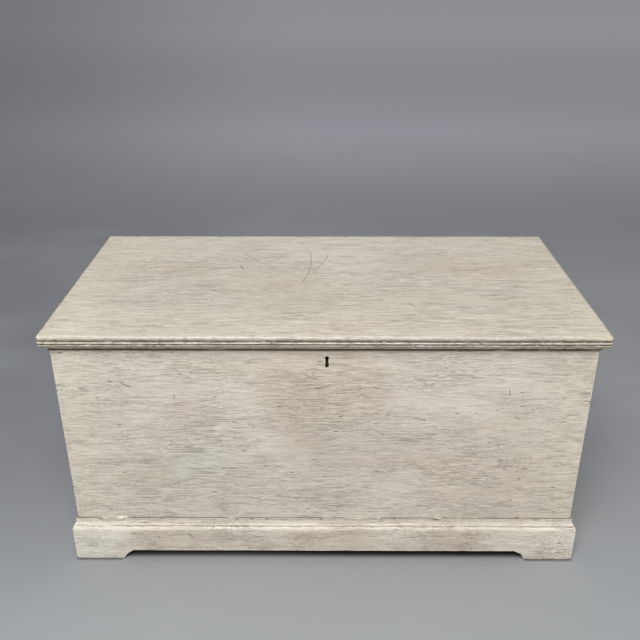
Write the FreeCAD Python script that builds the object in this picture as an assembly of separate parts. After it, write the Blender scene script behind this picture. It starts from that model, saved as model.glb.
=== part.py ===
# Painted pine blanket chest: a dovetailed box on a plinth with bracket feet, a moulded lid
# on two butt hinges, and a link-plate chest lock let into the front board.
#
# Millimetres. +X runs to the right along the front, +Y goes back and +Z up. The origin is
# on the floor, under the middle of the lid.
import FreeCAD
import Part

import math
import os

from FreeCAD import Vector

# ---- Box ----------------------------------------------------------------------------------
body_width = 967.0              # over the side boards
body_depth = 482.5              # over the front and back boards
body_height = 433.0             # the width of the four box boards
board_thickness = 22.0
tail_count = 6                  # dovetails at each corner
pin_width = 9.0                 # end of a pin, where it is narrowest
tail_slope = 7.0                # tails flare by 1 in this

# ---- Bottom -------------------------------------------------------------------------------
bottom_thickness = 15.0
bottom_clearance = 30.0         # floor to the underside of the bottom boards
bottom_board_count = 3
bottom_gap = 0.5                # shrinkage gap between the bottom boards
tongue_thickness = 5.0
tongue_length = 6.0
tongue_play = 0.4
nail_length = 42.0
nail_head_length = 6.0
nail_head_width = 3.2
nail_head_height = 1.6
nail_shank = 2.6                # square shank under the head
nail_point = 1.2
nail_sides = 4
nails_per_board_end = 2
nails_per_long_edge = 5

# ---- Plinth -------------------------------------------------------------------------------
plinth_height = 80.0
plinth_thickness = 11.5
plinth_arris_height = 7.0       # rounded upper arris of the plinth boards
plinth_arris_depth = 2.5
plinth_arris_rise = 0.6         # rise of the arris over its chord
foot_length = 94.0              # foot on the floor, from the outer corner
arch_height = 22.0              # floor to the edge between two feet
bracket_spread = 22.0           # a bracket's curve, along the board
bracket_rise = 3.2              # hollow of that curve over its chord
foot_block_size = 44.0
foot_block_chamfer = 16.0

# ---- Moulding strips on the plinth --------------------------------------------------------
plinth_strip_height = 16.6
plinth_strip_foot = 9.0         # how far the lower fillet stands off the box
plinth_strip_foot_height = 1.4
plinth_strip_top = 3.6          # how far the top fillet stands off the box
plinth_strip_top_height = 2.2
plinth_strip_quirk = 1.2        # height of the quirk under the top fillet
plinth_strip_quirk_depth = 1.4
plinth_strip_step = 0.7         # from a fillet's or a quirk's corner to the hollow
plinth_strip_hollow = 0.12      # rise of the hollow over its chord

# ---- Lid ----------------------------------------------------------------------------------
lid_thickness = 24.0
lid_gap = 0.4                   # between the box's top edge and the closed lid
lid_overhang = 16.5             # past the front and the sides
lid_back_overhang = 14.0        # past the back, where it stops the open lid
lid_board_count = 3
lid_corner_radius = 7.0         # front corners in plan
roll_radius = 5.0               # upper arris of the lid
roll_height = 9.6
lid_quirk_depth = 2.0
roll_return = 0.5               # swell of the roll's lower half over its chord
upper_quirk_height = 1.6
bead_height = 4.6
lower_quirk_height = 1.4
small_bead_height = 2.6
small_bead_swell = 1.1
undercut_depth = 3.0            # round under the small bead, back to the lid's underside
undercut_swell = 0.7

# ---- Cove strips under the lid's overhang -------------------------------------------------
cove_height = 10.0
cove_play = 0.9                 # between the strip and the box
cove_setback = 5.6              # strip's top fillet, behind the lid's edge
cove_fillet = 1.2
cove_step = 0.6                 # fillets stand this far off the hollow
cove_lip = 2.8                  # strip's lower lip, proud of the box
cove_lip_height = 1.6

# ---- Hinges -------------------------------------------------------------------------------
hinge_length = 76.0
hinge_inset = 188.0             # box's side to the middle of the hinge
hinge_leaf_width = 21.0         # pin's axis to the leaf's edge
hinge_leaf_thickness = 2.2
hinge_pin_radius = 2.4
hinge_pin_play = 0.08
hinge_wall = 2.0                # knuckle around the pin
hinge_pin_setback = 2.2         # pin's axis behind the box's back
knuckle_count = 3
knuckle_gap = 0.3
barrel_clearance = 0.5          # wood and leaves around the turning knuckles
hinge_fit = 0.3                 # around a leaf in its recess
hinge_screw_length = 18.0
hinge_screws_per_leaf = 3
hinge_screw_spacing = 27.0

# ---- Screws -------------------------------------------------------------------------------
screw_head_radius = 3.4
screw_head_height = 1.8
screw_shank_radius = 1.75
screw_point_length = 4.0
screw_point_radius = 0.4
screw_sides = 10
screw_slot_width = 0.9
screw_slot_depth = 0.8
screw_play = 0.1                # around a screw in its hole
plate_screw_length = 14.0

# ---- Keyhole ------------------------------------------------------------------------------
keyhole_offset = 5.0            # right of the chest's middle
keyhole_head_radius = 3.65
keyhole_neck = 4.7
keyhole_skirt = 7.0             # width at the foot of the skirt
keyhole_length = 22.4
keyhole_round = 2.2             # rise of the rounded foot

# ---- Lock ---------------------------------------------------------------------------------
lock_plate_thickness = 2.0
lock_plate_side = 11.5          # plate on either side of the case
lock_plate_foot = 4.0           # plate below the case
edge_plate_depth = 16.0         # across the front board's top edge
case_wall = 1.5
case_room = 11.0                # lock plate to cap, inside
lock_fit = 0.3                  # around the lock in its recesses
lock_screw_drop = 30.0          # screws through the lock plate, below the edge plate
key_reach = 10.2                # key's centre to the end of its bit
key_play = 0.6
key_pin_radius = 1.6
ward_radius = 7.0
ward_wall = 1.0
ward_height = 3.0
ward_gap = 8.0
lock_spring_thickness = 0.9
lock_spring_width = 6.0
lock_spring_half_span = 25.0
lock_spring_bow = 13.3          # its middle below its ends
lock_spring_gap = 0.3           # its ends to the bolt's tails

# ---- Bolt and its staples -----------------------------------------------------------------
bolt_thickness = 3.6
bolt_throw = 7.0
bolt_play = 0.5                 # hooks to the edge plate
bolt_end_play = 0.4             # bolt's end to the case, at both ends of the throw
bolt_bar_height = 5.6
hook_height = 5.0
hook_post = 4.5
hook_nose = 1.4                 # rise of the hook's rounded end
hook_clearance = 1.0            # post to staple, bolt thrown
talon_width = 5.2
talon_engagement = 1.6          # key's bit into the bolt
talon_round = 1.2               # rise of the talon's rounded end
bolt_tail_drop = 6.6            # lower edge of the bolt's tails, below the key's centre
stump_radius = 1.5
stump_play = 0.3
slot_wall = 1.6                 # metal at both ends of a guide slot
staple_spacing = 30.0
staple_width = 3.2              # along the bolt
staple_bar = 2.2                # the two legs and the bridge
staple_corner = 2.0
staple_play = 0.7               # between staple and bolt, all round
staple_rest_gap = 1.2           # hook's end to staple, bolt drawn back
staple_slot_play = 0.6          # around a staple in the edge plate
bridge_clearance = 0.8          # staple's bridge to the bolt's bar

# ---- Levels and planes that follow --------------------------------------------------------
half_width = body_width / 2
lid_width = body_width + 2 * lid_overhang
lid_depth = body_depth + lid_overhang + lid_back_overhang
half_lid = lid_width / 2
lid_front = -lid_depth / 2
lid_back = lid_depth / 2
body_front = lid_front + lid_overhang
body_back = body_front + body_depth
front_inside = body_front + board_thickness
back_inside = body_back - board_thickness
bottom_top = bottom_clearance + bottom_thickness
body_top = bottom_top + body_height
lid_under = body_top + lid_gap
lid_top = lid_under + lid_thickness
lid_board_depth = lid_depth / lid_board_count
mitre_reach = lid_overhang + plinth_thickness

quarter_rise = (math.sqrt(2) - 1) / 2      # rise of a quarter circle over its chord
past = 1.0                                 # how far a cutter runs past the wood


# ---- Drawing ------------------------------------------------------------------------------
def box(x, y, z):
    """Block between the two values of each of x, y and z."""
    size = (x[1] - x[0], y[1] - y[0], z[1] - z[0])
    return Part.makeBox(*size, Vector(x[0], y[0], z[0]))


def arc_between(start, end, rise):
    """Arc in the XZ plane whose middle stands off the chord by rise, to the left of the way."""
    chord = end - start
    left = Vector(-chord.z, 0, chord.x).normalize()
    middle = (start + end) * 0.5 + left * rise
    return Part.Arc(start, middle, end).toShape()


def outline(*corners):
    """Face in the XZ plane. A corner's third number is the rise of the arc that leads to it."""
    edges = []
    for before, corner in zip(corners[-1:] + corners[:-1], corners):
        start = Vector(before[0], 0, before[1])
        end = Vector(corner[0], 0, corner[1])
        if len(corner) == 3:
            edges.append(arc_between(start, end, corner[2]))
        else:
            edges.append(Part.makeLine(start, end))
    return Part.Face(Part.Wire(edges))


def prism(face, y):
    """Solid of a face in the XZ plane, between the two values of y."""
    return face.translated(Vector(0, y[0], 0)).extrude(Vector(0, y[1] - y[0], 0))


def flat_face(corners):
    """Face through corners that lie in one plane."""
    return Part.Face(Part.makePolygon(corners + corners[:1]))


def plan_prism(corners, z):
    """Solid of an outline in plan, between the two values of z."""
    face = flat_face([Vector(x, y, z[0]) for x, y in corners])
    return face.extrude(Vector(0, 0, z[1] - z[0]))


def across(face, x):
    """Solid of a face whose drawn width runs along +Y, between the two values of x."""
    turned = face.rotated(Vector(), Vector(0, 0, 1), 90)
    return turned.translated(Vector(x[0], 0, 0)).extrude(Vector(x[1] - x[0], 0, 0))


def rod(x, y, z, radius):
    """Round rod along X, between the two values of x."""
    return Part.makeCylinder(radius, x[1] - x[0], Vector(x[0], y, z), Vector(1, 0, 0))


def mirrored(shape):
    """The left-hand twin of a right-hand piece."""
    return shape.mirror(Vector(), Vector(1, 0, 0))


def fused(first, *others):
    """One solid of pieces that overlap, without the seams between them."""
    return first.fuse(list(others)).removeSplitter()


def save(name, *solids):
    """Write one named piece, or one group of like pieces."""
    shape = solids[0] if len(solids) == 1 else Part.makeCompound(list(solids))
    shape.exportStep(os.path.join("parts", name + ".step"))


# ---- Mouldings ----------------------------------------------------------------------------
# A moulding's outline has its width measured outwards from the box and its height from the
# floor. The front run turns both front corners in mitres, the side runs have one each.
def front_run(profile):
    """A moulding along the front, mitred at both ends."""
    turned = profile.rotated(Vector(), Vector(0, 0, 1), -90)
    start = Vector(-half_width - mitre_reach, body_front, 0)
    run = turned.translated(start).extrude(Vector(body_width + 2 * mitre_reach, 0, 0))
    plan = [
        (-half_width - mitre_reach, body_front - mitre_reach),
        (half_width + mitre_reach, body_front - mitre_reach),
        (half_width, body_front),
        (-half_width, body_front),
    ]
    return run.common(plan_prism(plan, (0, lid_top)))


def right_run(profile, back_end):
    """A moulding along the right side, mitred at the front and square at the back."""
    placed = profile.translated(Vector(half_width, 0, 0))
    run = prism(placed, (body_front - mitre_reach, back_end))
    plan = [
        (half_width, body_front),
        (half_width + mitre_reach, body_front - mitre_reach),
        (half_width + mitre_reach, back_end),
        (half_width, back_end),
    ]
    return run.common(plan_prism(plan, (0, lid_top)))


# ---- Screws and nails ---------------------------------------------------------------------
def tapered(rings):
    """Solid with flat sides through rings of like corners, from the first to the last."""
    faces = [flat_face(rings[0]), flat_face(rings[-1])]
    for near, far in zip(rings, rings[1:]):
        for index in range(len(near)):
            side = [near[index - 1], near[index], far[index], far[index - 1]]
            faces.append(flat_face(side))
    solid = Part.makeSolid(Part.makeShell(faces))
    solid.fix(0, 0, 0)      # turns all the faces outwards
    return solid


def ring(radius, sides, z):
    """Corners around the Z axis at height z."""
    corners = []
    for index in range(sides):
        angle = 2 * math.pi * (index + 0.5) / sides
        corners.append(Vector(radius * math.cos(angle), radius * math.sin(angle), z))
    return corners


def shank_rings(length, play):
    """Rings of a countersunk head at the origin and of its shank down to length."""
    return [
        ring(screw_head_radius + play, screw_sides, 0),
        ring(screw_shank_radius + play, screw_sides, -screw_head_height),
        ring(screw_shank_radius + play, screw_sides, -length),
    ]


def driven(shape, position, direction):
    """A screw or its hole, moved to its place and turned to point along direction."""
    turn = FreeCAD.Rotation(Vector(0, 0, -1), direction)
    placed = shape.copy()
    placed.Placement = FreeCAD.Placement(position, turn)
    return placed


def screws(length, places, direction):
    """The slotted screws of one fitting."""
    slot = box(
        (-screw_head_radius, screw_head_radius),
        (-screw_slot_width / 2, screw_slot_width / 2),
        (-screw_slot_depth, past),
    )
    rings = shank_rings(length - screw_point_length, 0)
    rings.append(ring(screw_point_radius, screw_sides, -length))
    screw = tapered(rings).cut(slot)
    return [driven(screw, place, direction) for place in places]


def screw_holes(length, places, direction):
    """The countersunk holes that those screws sit in."""
    hole = tapered(shank_rings(length + screw_play, screw_play))
    return [driven(hole, place, direction) for place in places]


def cut_nail(x, y):
    """Tapered cut nail, driven up through a bottom board."""
    head = box(
        (-nail_head_length / 2, nail_head_length / 2),
        (-nail_head_width / 2, nail_head_width / 2),
        (0, nail_head_height),
    )
    root = ring(nail_shank / math.sqrt(2), nail_sides, nail_head_height)
    point = ring(nail_point / math.sqrt(2), nail_sides, nail_length)
    shank = tapered([root, point])
    return fused(head, shank).translated(Vector(x, y, bottom_clearance))


def spread(low, high, count):
    """Evenly spaced values, half a step in from both ends."""
    step = (high - low) / count
    return [low + step * (index + 0.5) for index in range(count)]


# ---- Box boards ---------------------------------------------------------------------------
def tails():
    """The right-hand dovetail outlines of the front and back boards."""
    pitch = body_height / tail_count
    flare = board_thickness / tail_slope
    root = half_width - board_thickness
    faces = []
    for index in range(tail_count):
        low = bottom_top + index * pitch + pin_width / 2
        high = bottom_top + (index + 1) * pitch - pin_width / 2
        corners = [(root, low + flare), (half_width, low), (half_width, high), (root, high - flare)]
        faces.append(outline(*corners))
    return faces


def long_board(y):
    """A front or back board with its dovetails, between the two values of y."""
    root = half_width - board_thickness
    core = box((-root, root), y, (bottom_top, body_top))
    right = [prism(face, y) for face in tails()]
    return fused(core, *right, *[mirrored(tail) for tail in right])


def side_board():
    """The right-hand side board: its pins are what the tails leave."""
    root = half_width - board_thickness
    board = box((root, half_width), (body_front, body_back), (bottom_top, body_top))
    sockets = []
    for y in ((body_front, front_inside), (back_inside, body_back)):
        sockets += [prism(face, y) for face in tails()]
    return board.cut(sockets)


def keyhole(length):
    """Keyhole outline: a round head on a flared skirt with a rounded foot."""
    neck = keyhole_neck / 2
    skirt = keyhole_skirt / 2
    shoulder = math.sqrt(keyhole_head_radius ** 2 - neck ** 2)
    foot = key_z + keyhole_head_radius - length + keyhole_round
    face = outline(
        (-neck, key_z - shoulder, -keyhole_head_radius - shoulder),
        (-skirt, foot),
        (skirt, foot, -keyhole_round),
        (neck, key_z - shoulder),
    )
    return face.translated(Vector(keyhole_offset, 0, 0))


# ---- Bottom -------------------------------------------------------------------------------
def bottom_boards():
    """Tongued and grooved boards, nailed up under the box."""
    pitch = body_depth / bottom_board_count
    middle = bottom_clearance + bottom_thickness / 2
    tongue_z = (middle - tongue_thickness / 2, middle + tongue_thickness / 2)
    groove_z = (tongue_z[0] - tongue_play, tongue_z[1] + tongue_play)
    boards = []
    for index in range(bottom_board_count):
        front = body_front + index * pitch
        back = front + pitch
        x = (-half_width, half_width)
        if index == bottom_board_count - 1:
            board = box(x, (front, back), (bottom_clearance, bottom_top))
        else:
            back -= bottom_gap
            board = box(x, (front, back), (bottom_clearance, bottom_top))
            board = fused(board, box(x, (back, back + tongue_length), tongue_z))
        if index > 0:
            groove = (front - past, front - bottom_gap + tongue_length + tongue_play)
            board = board.cut(box((x[0] - past, x[1] + past), groove, groove_z))
        boards.append(board)
    return boards


def bottom_nails():
    """Nails through the boards' ends and along the front and back edges."""
    nails = []
    pitch = body_depth / bottom_board_count
    side_line = half_width - board_thickness / 2
    for index in range(bottom_board_count):
        front = body_front + index * pitch + board_thickness
        back = body_front + (index + 1) * pitch - board_thickness
        for y in spread(front, back, nails_per_board_end):
            nails += [cut_nail(-side_line, y), cut_nail(side_line, y)]
    for x in spread(-half_width, half_width, nails_per_long_edge):
        nails.append(cut_nail(x, body_front + board_thickness / 2))
        nails.append(cut_nail(x, body_back - board_thickness / 2))
    return nails


# ---- Plinth -------------------------------------------------------------------------------
def plinth_profile():
    """Plinth board with its rounded upper arris."""
    arris_foot = plinth_height - plinth_arris_height
    arris_top = plinth_thickness - plinth_arris_depth
    return outline(
        (0, 0),
        (plinth_thickness, 0),
        (plinth_thickness, arris_foot),
        (arris_top, plinth_height, -plinth_arris_rise),
        (0, plinth_height),
    )


def arch(first, last):
    """Opening between two bracket feet whose outer corners are at first and last."""
    left = first + foot_length
    right = last - foot_length
    return outline(
        (left, -past),
        (left, 0),
        (left + bracket_spread, arch_height, bracket_rise),
        (right - bracket_spread, arch_height),
        (right, 0, bracket_rise),
        (right, -past),
    )


def plinth_boards():
    """The front, right and rear plinth boards."""
    outer = half_width + plinth_thickness
    outer_front = body_front - plinth_thickness
    outer_back = body_back + plinth_thickness
    long_arch = prism(arch(-outer, outer), (outer_front - past, outer_back + past))
    side_arch = across(arch(outer_front, outer_back), (half_width - past, outer + past))
    front = front_run(plinth_profile()).cut(long_arch)
    right = right_run(plinth_profile(), outer_back).cut(side_arch)
    back = box((-half_width, half_width), (body_back, outer_back), (0, plinth_height))
    return front, right, back.cut(long_arch)


def foot_blocks():
    """A block in the corner of each foot, with its inner arris taken off."""
    blocks = []
    for y, inwards in ((body_front, 1), (body_back, -1)):
        far = y + inwards * foot_block_size
        cut = y + inwards * (foot_block_size - foot_block_chamfer)
        plan = [
            (half_width, y),
            (half_width, far),
            (half_width - foot_block_size + foot_block_chamfer, far),
            (half_width - foot_block_size, cut),
            (half_width - foot_block_size, y),
        ]
        block = plan_prism(plan, (0, bottom_clearance))
        blocks += [block, mirrored(block)]
    return blocks


def plinth_strip_profile():
    """Strip on the plinth: a lower fillet, a long hollow, a quirk and a top fillet."""
    low = plinth_height
    hollow_low = low + plinth_strip_foot_height
    high = low + plinth_strip_height
    fillet_low = high - plinth_strip_top_height
    hollow_high = fillet_low - plinth_strip_quirk
    quirk_floor = plinth_strip_top - plinth_strip_quirk_depth
    outer = plinth_strip_foot - plinth_strip_step
    inner = quirk_floor + plinth_strip_step
    chord = math.hypot(outer - inner, hollow_high - hollow_low)
    return outline(
        (0, low),
        (plinth_strip_foot, low),
        (plinth_strip_foot, hollow_low),
        (outer, hollow_low),
        (inner, hollow_high, plinth_strip_hollow * chord),
        (quirk_floor, hollow_high),
        (quirk_floor, fillet_low),
        (plinth_strip_top, fillet_low),
        (plinth_strip_top, high),
        (0, high),
    )


# ---- Lid ----------------------------------------------------------------------------------
def lid_edge_profile():
    """Moulded edge of the lid, drawn inwards from zero: roll, two beads and a round under them."""
    inner = -lid_corner_radius
    roll_low = lid_top - roll_height
    bead_top = roll_low - upper_quirk_height
    bead_low = bead_top - bead_height
    small_top = bead_low - lower_quirk_height
    small_low = small_top - small_bead_height
    quirk = -lid_quirk_depth
    roll_chord = math.sqrt(2) * roll_radius
    return outline(
        (inner, lid_under),
        (quirk - undercut_depth, lid_under),
        (quirk, small_low, -undercut_swell),
        (quirk, small_top, -small_bead_swell),
        (quirk, bead_low),
        (quirk, bead_top, -lid_quirk_depth),
        (quirk, roll_low),
        (0, lid_top - roll_radius, -roll_return),
        (-roll_radius, lid_top, -quarter_rise * roll_chord),
        (inner, lid_top),
    )


def lid_blank():
    """The whole lid: a flat panel with its edge moulding along the front and the ends."""
    profile = lid_edge_profile()
    inner = half_lid - lid_corner_radius
    turn = lid_front + lid_corner_radius
    panel = box((-inner, inner), (turn, lid_back), (lid_under, lid_top))
    end = prism(profile.translated(Vector(half_lid, 0, 0)), (turn, lid_back))
    facing = profile.rotated(Vector(), Vector(0, 0, 1), -90)
    front = facing.translated(Vector(-inner, lid_front, 0)).extrude(Vector(2 * inner, 0, 0))
    start = profile.translated(Vector(half_lid, turn, 0))
    corner = start.revolve(Vector(inner, turn, 0), Vector(0, 0, 1), -90)
    return fused(panel, front, end, mirrored(end), corner, mirrored(corner))


def lid_boards():
    """The lid's boards, front to back, glued edge to edge."""
    blank = lid_blank()
    boards = []
    for index in range(lid_board_count):
        front = lid_front + index * lid_board_depth
        x = (-half_lid - past, half_lid + past)
        slab = box(x, (front, front + lid_board_depth), (lid_under - past, lid_top + past))
        boards.append(blank.common(slab))
    return boards


def cove_profile():
    """Strip under the lid's overhang: a top fillet, a hollow and a lower lip."""
    high = lid_under
    low = high - cove_height
    outer = lid_overhang - cove_setback
    hollow_top = (outer - cove_step, high - cove_fillet)
    hollow_low = (cove_lip - cove_step, low + cove_lip_height)
    chord = math.hypot(hollow_top[0] - hollow_low[0], hollow_top[1] - hollow_low[1])
    return outline(
        (cove_play, low),
        (cove_lip, low),
        (cove_lip, low + cove_lip_height),
        hollow_low,
        (*hollow_top, quarter_rise * chord),
        (outer, high - cove_fillet),
        (outer, high),
        (cove_play, high),
    )


# ---- Hinges -------------------------------------------------------------------------------
pin_y = body_back + hinge_pin_setback
pin_z = body_top + lid_gap / 2
barrel_radius = hinge_pin_radius + hinge_wall
hinge_x = half_width - hinge_inset


def hinge_screw_places(z):
    """Screw heads of the right-hand leaf whose outer face is at z."""
    flat_end = pin_y - barrel_radius - barrel_clearance
    y = (pin_y - hinge_leaf_width + flat_end) / 2
    first = -hinge_screw_spacing * (hinge_screws_per_leaf - 1) / 2
    steps = range(hinge_screws_per_leaf)
    return [Vector(hinge_x + first + hinge_screw_spacing * step, y, z) for step in steps]


def knuckle_spans():
    """The X spans of a hinge's knuckles, left to right."""
    pitch = (hinge_length + knuckle_gap) / knuckle_count
    start = hinge_x - hinge_length / 2
    spans = []
    for index in range(knuckle_count):
        left = start + index * pitch
        spans.append((left, left + pitch - knuckle_gap))
    return spans


def hinge_leaf(leaf_z, own, holes):
    """A leaf between the two values of leaf_z, with every second knuckle from own on."""
    spans = knuckle_spans()
    x = (spans[0][0], spans[-1][1])
    plate = box(x, (pin_y - hinge_leaf_width, pin_y), leaf_z)
    clearance = barrel_radius + barrel_clearance
    for span in spans[1 - own::2]:
        grown = (span[0] - knuckle_gap, span[1] + knuckle_gap)
        plate = plate.cut(rod(grown, pin_y, pin_z, clearance))
    barrel = [rod(span, pin_y, pin_z, barrel_radius) for span in spans[own::2]]
    bore = rod((x[0] - past, x[1] + past), pin_y, pin_z, hinge_pin_radius + hinge_pin_play)
    return fused(plate, *barrel).cut([bore] + holes)


def hinge_gain(leaf_z):
    """Recess for a leaf, and the deeper cut around the barrel."""
    x = (hinge_x - hinge_length / 2 - hinge_fit, hinge_x + hinge_length / 2 + hinge_fit)
    seat = box(x, (pin_y - hinge_leaf_width - hinge_fit, pin_y), leaf_z)
    reach = barrel_radius + barrel_clearance
    return fused(seat, box(x, (pin_y - reach, pin_y + reach), (pin_z - reach, pin_z + reach)))


# ---- Lock ---------------------------------------------------------------------------------
# The works hang from the edge plate: hooks, staples, the bolt's bar, the key and the spring.
# Each side of the bolt is as wide as its guide slot needs, and the case as the bolt needs.
case_top = body_top - lock_plate_thickness
hook_top = case_top - bolt_play
hook_low = hook_top - hook_height
bridge_top = hook_low - staple_play
staple_low = bridge_top - staple_bar
bar_top = staple_low - bridge_clearance
bar_low = bar_top - bolt_bar_height
key_z = bar_low + talon_engagement - key_reach
tail_low = key_z - bolt_tail_drop
stump_z = (bar_low + tail_low) / 2
spring_top = tail_low - lock_spring_gap
case_low = spring_top - lock_spring_thickness - lock_spring_bow - case_wall
plate_low = case_low - lock_plate_foot

slot_radius = stump_radius + stump_play
tail_inner = key_reach + key_play
tail_width = bolt_throw + 2 * (slot_radius + slot_wall)
stump_offset = tail_inner + slot_wall + bolt_throw + slot_radius
half_case = tail_inner + tail_width + bolt_throw + bolt_end_play + case_wall
half_lock = half_case + lock_plate_side
screw_column = half_case + lock_plate_side / 2

plate_y = front_inside - lock_plate_thickness
bolt_y = plate_y - case_room / 2
edge_plate_front = front_inside - edge_plate_depth
eye_half = bolt_thickness / 2 + staple_play
staple_places = (keyhole_offset - staple_spacing / 2, keyhole_offset + staple_spacing / 2)


def in_lock(first, last):
    """Two X values given from the key's centre."""
    return (keyhole_offset + first, keyhole_offset + last)


def lock_plate():
    """Back plate flush with the inside of the chest, bent over the board's top edge."""
    x = in_lock(-half_lock, half_lock)
    back = box(x, (plate_y, front_inside), (plate_low, body_top))
    edge = box(x, (edge_plate_front, front_inside), (case_top, body_top))
    slots = []
    for place in staple_places:
        half = staple_width / 2 + staple_slot_play
        reach = eye_half + staple_bar + staple_slot_play
        slot_y = (bolt_y - reach, bolt_y + reach)
        slots.append(box((place - half, place + half), slot_y, (case_top - past, body_top + past)))
    return fused(back, edge).cut(slots)


def lock_cap():
    """Folded cap over the works, open at the back and the top, with its own keyhole."""
    outer_y = plate_y - case_room - case_wall
    shell = box(in_lock(-half_case, half_case), (outer_y, plate_y), (case_low, case_top))
    room_x = in_lock(-half_case + case_wall, half_case - case_wall)
    room = box(room_x, (outer_y + case_wall, plate_y), (case_low + case_wall, case_top))
    hole = keyhole(keyhole_head_radius + tail_inner)
    return shell.cut([room, prism(hole, (outer_y - past, outer_y + case_wall + past))])


def lock_recess():
    """What the lock takes out of the front board."""
    plate_x = in_lock(-half_lock - lock_fit, half_lock + lock_fit)
    plate_z = (plate_low - lock_fit, body_top + past)
    edge_y = (edge_plate_front - lock_fit, front_inside + past)
    case_x = in_lock(-half_case - lock_fit, half_case + lock_fit)
    case_y = (plate_y - case_room - case_wall - lock_fit, front_inside + past)
    back = box(plate_x, (plate_y, front_inside + past), plate_z)
    edge = box(plate_x, edge_y, (case_top, body_top + past))
    case = box(case_x, case_y, (case_low - lock_fit, body_top))
    return fused(back, edge, case)


def lock_screw_places():
    """Screw heads on the lock plate, and on the edge plate's two ends."""
    columns = in_lock(-screw_column, screw_column)
    edge_y = front_inside - edge_plate_depth / 2
    plate = [Vector(x, front_inside, case_top - lock_screw_drop) for x in columns]
    edge = [Vector(x, edge_y, body_top) for x in columns]
    return plate, edge


def bolt():
    """Bolt drawn back: a bar with two hooks above, and two slotted tails beside the key."""
    bolt_ends = (-tail_inner - bolt_throw - tail_width, tail_inner + tail_width)
    middle = -bolt_throw / 2
    half_talon = talon_width / 2
    talon_top = key_z + key_reach + key_play
    blank = outline(
        (bolt_ends[0], tail_low),
        (bolt_ends[0] + tail_width, tail_low),
        (bolt_ends[0] + tail_width, bar_low),
        (middle - half_talon, bar_low),
        (middle - half_talon, talon_top),
        (middle + half_talon, talon_top, talon_round),
        (middle + half_talon, bar_low),
        (bolt_ends[1] - tail_width, bar_low),
        (bolt_ends[1] - tail_width, tail_low),
        (bolt_ends[1], tail_low),
        (bolt_ends[1], bar_top),
        (bolt_ends[0], bar_top),
    ).translated(Vector(keyhole_offset, 0, 0))
    y = (bolt_y - bolt_thickness / 2, bolt_y + bolt_thickness / 2)
    hooks = [prism(hook(place), y) for place in staple_places]
    slots = []
    for stump_x in in_lock(-stump_offset, stump_offset):
        slots.append(prism(guide_slot(stump_x), (y[0] - past, y[1] + past)))
    return fused(prism(blank, y), *hooks).cut(slots)


def hook(place):
    """Hook that slides to the right into the staple at place."""
    end = place - staple_width / 2 - staple_rest_gap
    inside = place - staple_width / 2 - hook_clearance - bolt_throw
    post = inside - hook_post
    square_end = end - hook_nose
    return outline(
        (post, bar_top - past),
        (inside, bar_top - past),
        (inside, hook_low),
        (square_end, hook_low),
        (square_end, hook_top, -hook_nose),
        (post, hook_top),
    )


def guide_slot(stump_x):
    """Slot that lets the bolt slide to the right past the stump at stump_x."""
    left = stump_x - bolt_throw
    low = stump_z - slot_radius
    high = stump_z + slot_radius
    return outline(
        (left, low, -slot_radius),
        (stump_x, low),
        (stump_x, high, -slot_radius),
        (left, high),
    )


def stump(stump_x):
    """Guide stump between the lock plate and the cap."""
    start = Vector(stump_x, plate_y, stump_z)
    return Part.makeCylinder(stump_radius, case_room, start, Vector(0, -1, 0))


def key_pin():
    """Pin that a pipe key turns on."""
    start = Vector(keyhole_offset, plate_y, key_z)
    return Part.makeCylinder(key_pin_radius, case_room + case_wall, start, Vector(0, -1, 0))


def ward():
    """Ring ward inside the cap, open below for the key's bit."""
    inner_face = plate_y - case_room
    centre = Vector(keyhole_offset, inner_face, key_z)
    collar = Part.makeCylinder(ward_radius, ward_height, centre, Vector(0, 1, 0))
    hollow = Part.makeCylinder(ward_radius - ward_wall, ward_height, centre, Vector(0, 1, 0))
    gap_x = in_lock(-ward_gap / 2, ward_gap / 2)
    gap = box(gap_x, (inner_face, inner_face + ward_height), (key_z - ward_radius - past, key_z))
    return collar.cut([hollow, gap])


def lock_spring():
    """Bow spring riveted to the case's floor, with its ends up under the bolt's tails."""
    span = lock_spring_half_span
    under = spring_top - lock_spring_thickness
    face = outline(
        (-span, under),
        (span, under, -lock_spring_bow),
        (span, spring_top),
        (-span, spring_top, lock_spring_bow),
    ).translated(Vector(keyhole_offset, 0, 0))
    return prism(face, (bolt_y - lock_spring_width / 2, bolt_y + lock_spring_width / 2))


def staple(place):
    """Staple of the link plate: a loop across the bolt, hung through the edge plate."""
    top = lid_under + lock_plate_thickness
    outer = eye_half + staple_bar
    corner_rise = -quarter_rise * math.sqrt(2) * staple_corner
    loop = outline(
        (bolt_y - outer, top),
        (bolt_y - outer, staple_low + staple_corner),
        (bolt_y - outer + staple_corner, staple_low, corner_rise),
        (bolt_y + outer - staple_corner, staple_low),
        (bolt_y + outer, staple_low + staple_corner, corner_rise),
        (bolt_y + outer, top),
    )
    x = (place - staple_width / 2, place + staple_width / 2)
    eye = box((x[0] - past, x[1] + past), (bolt_y - eye_half, bolt_y + eye_half), (bridge_top, top + past))
    return across(loop, x).cut(eye)


def link_plate_block():
    """Outside of the link plate, let into the lid above the edge plate."""
    x = in_lock(-half_lock, half_lock)
    y = (edge_plate_front, front_inside)
    return box(x, y, (lid_under, lid_under + lock_plate_thickness))


def link_recess():
    """What the link plate takes out of the lid's underside."""
    x = in_lock(-half_lock - lock_fit, half_lock + lock_fit)
    y = (edge_plate_front - lock_fit, front_inside + lock_fit)
    return box(x, y, (lid_under - past, lid_under + lock_plate_thickness))


def link_screw_places():
    """Screw heads on the link plate's two ends."""
    y = front_inside - edge_plate_depth / 2
    return [Vector(x, y, lid_under) for x in in_lock(-screw_column, screw_column)]


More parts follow.
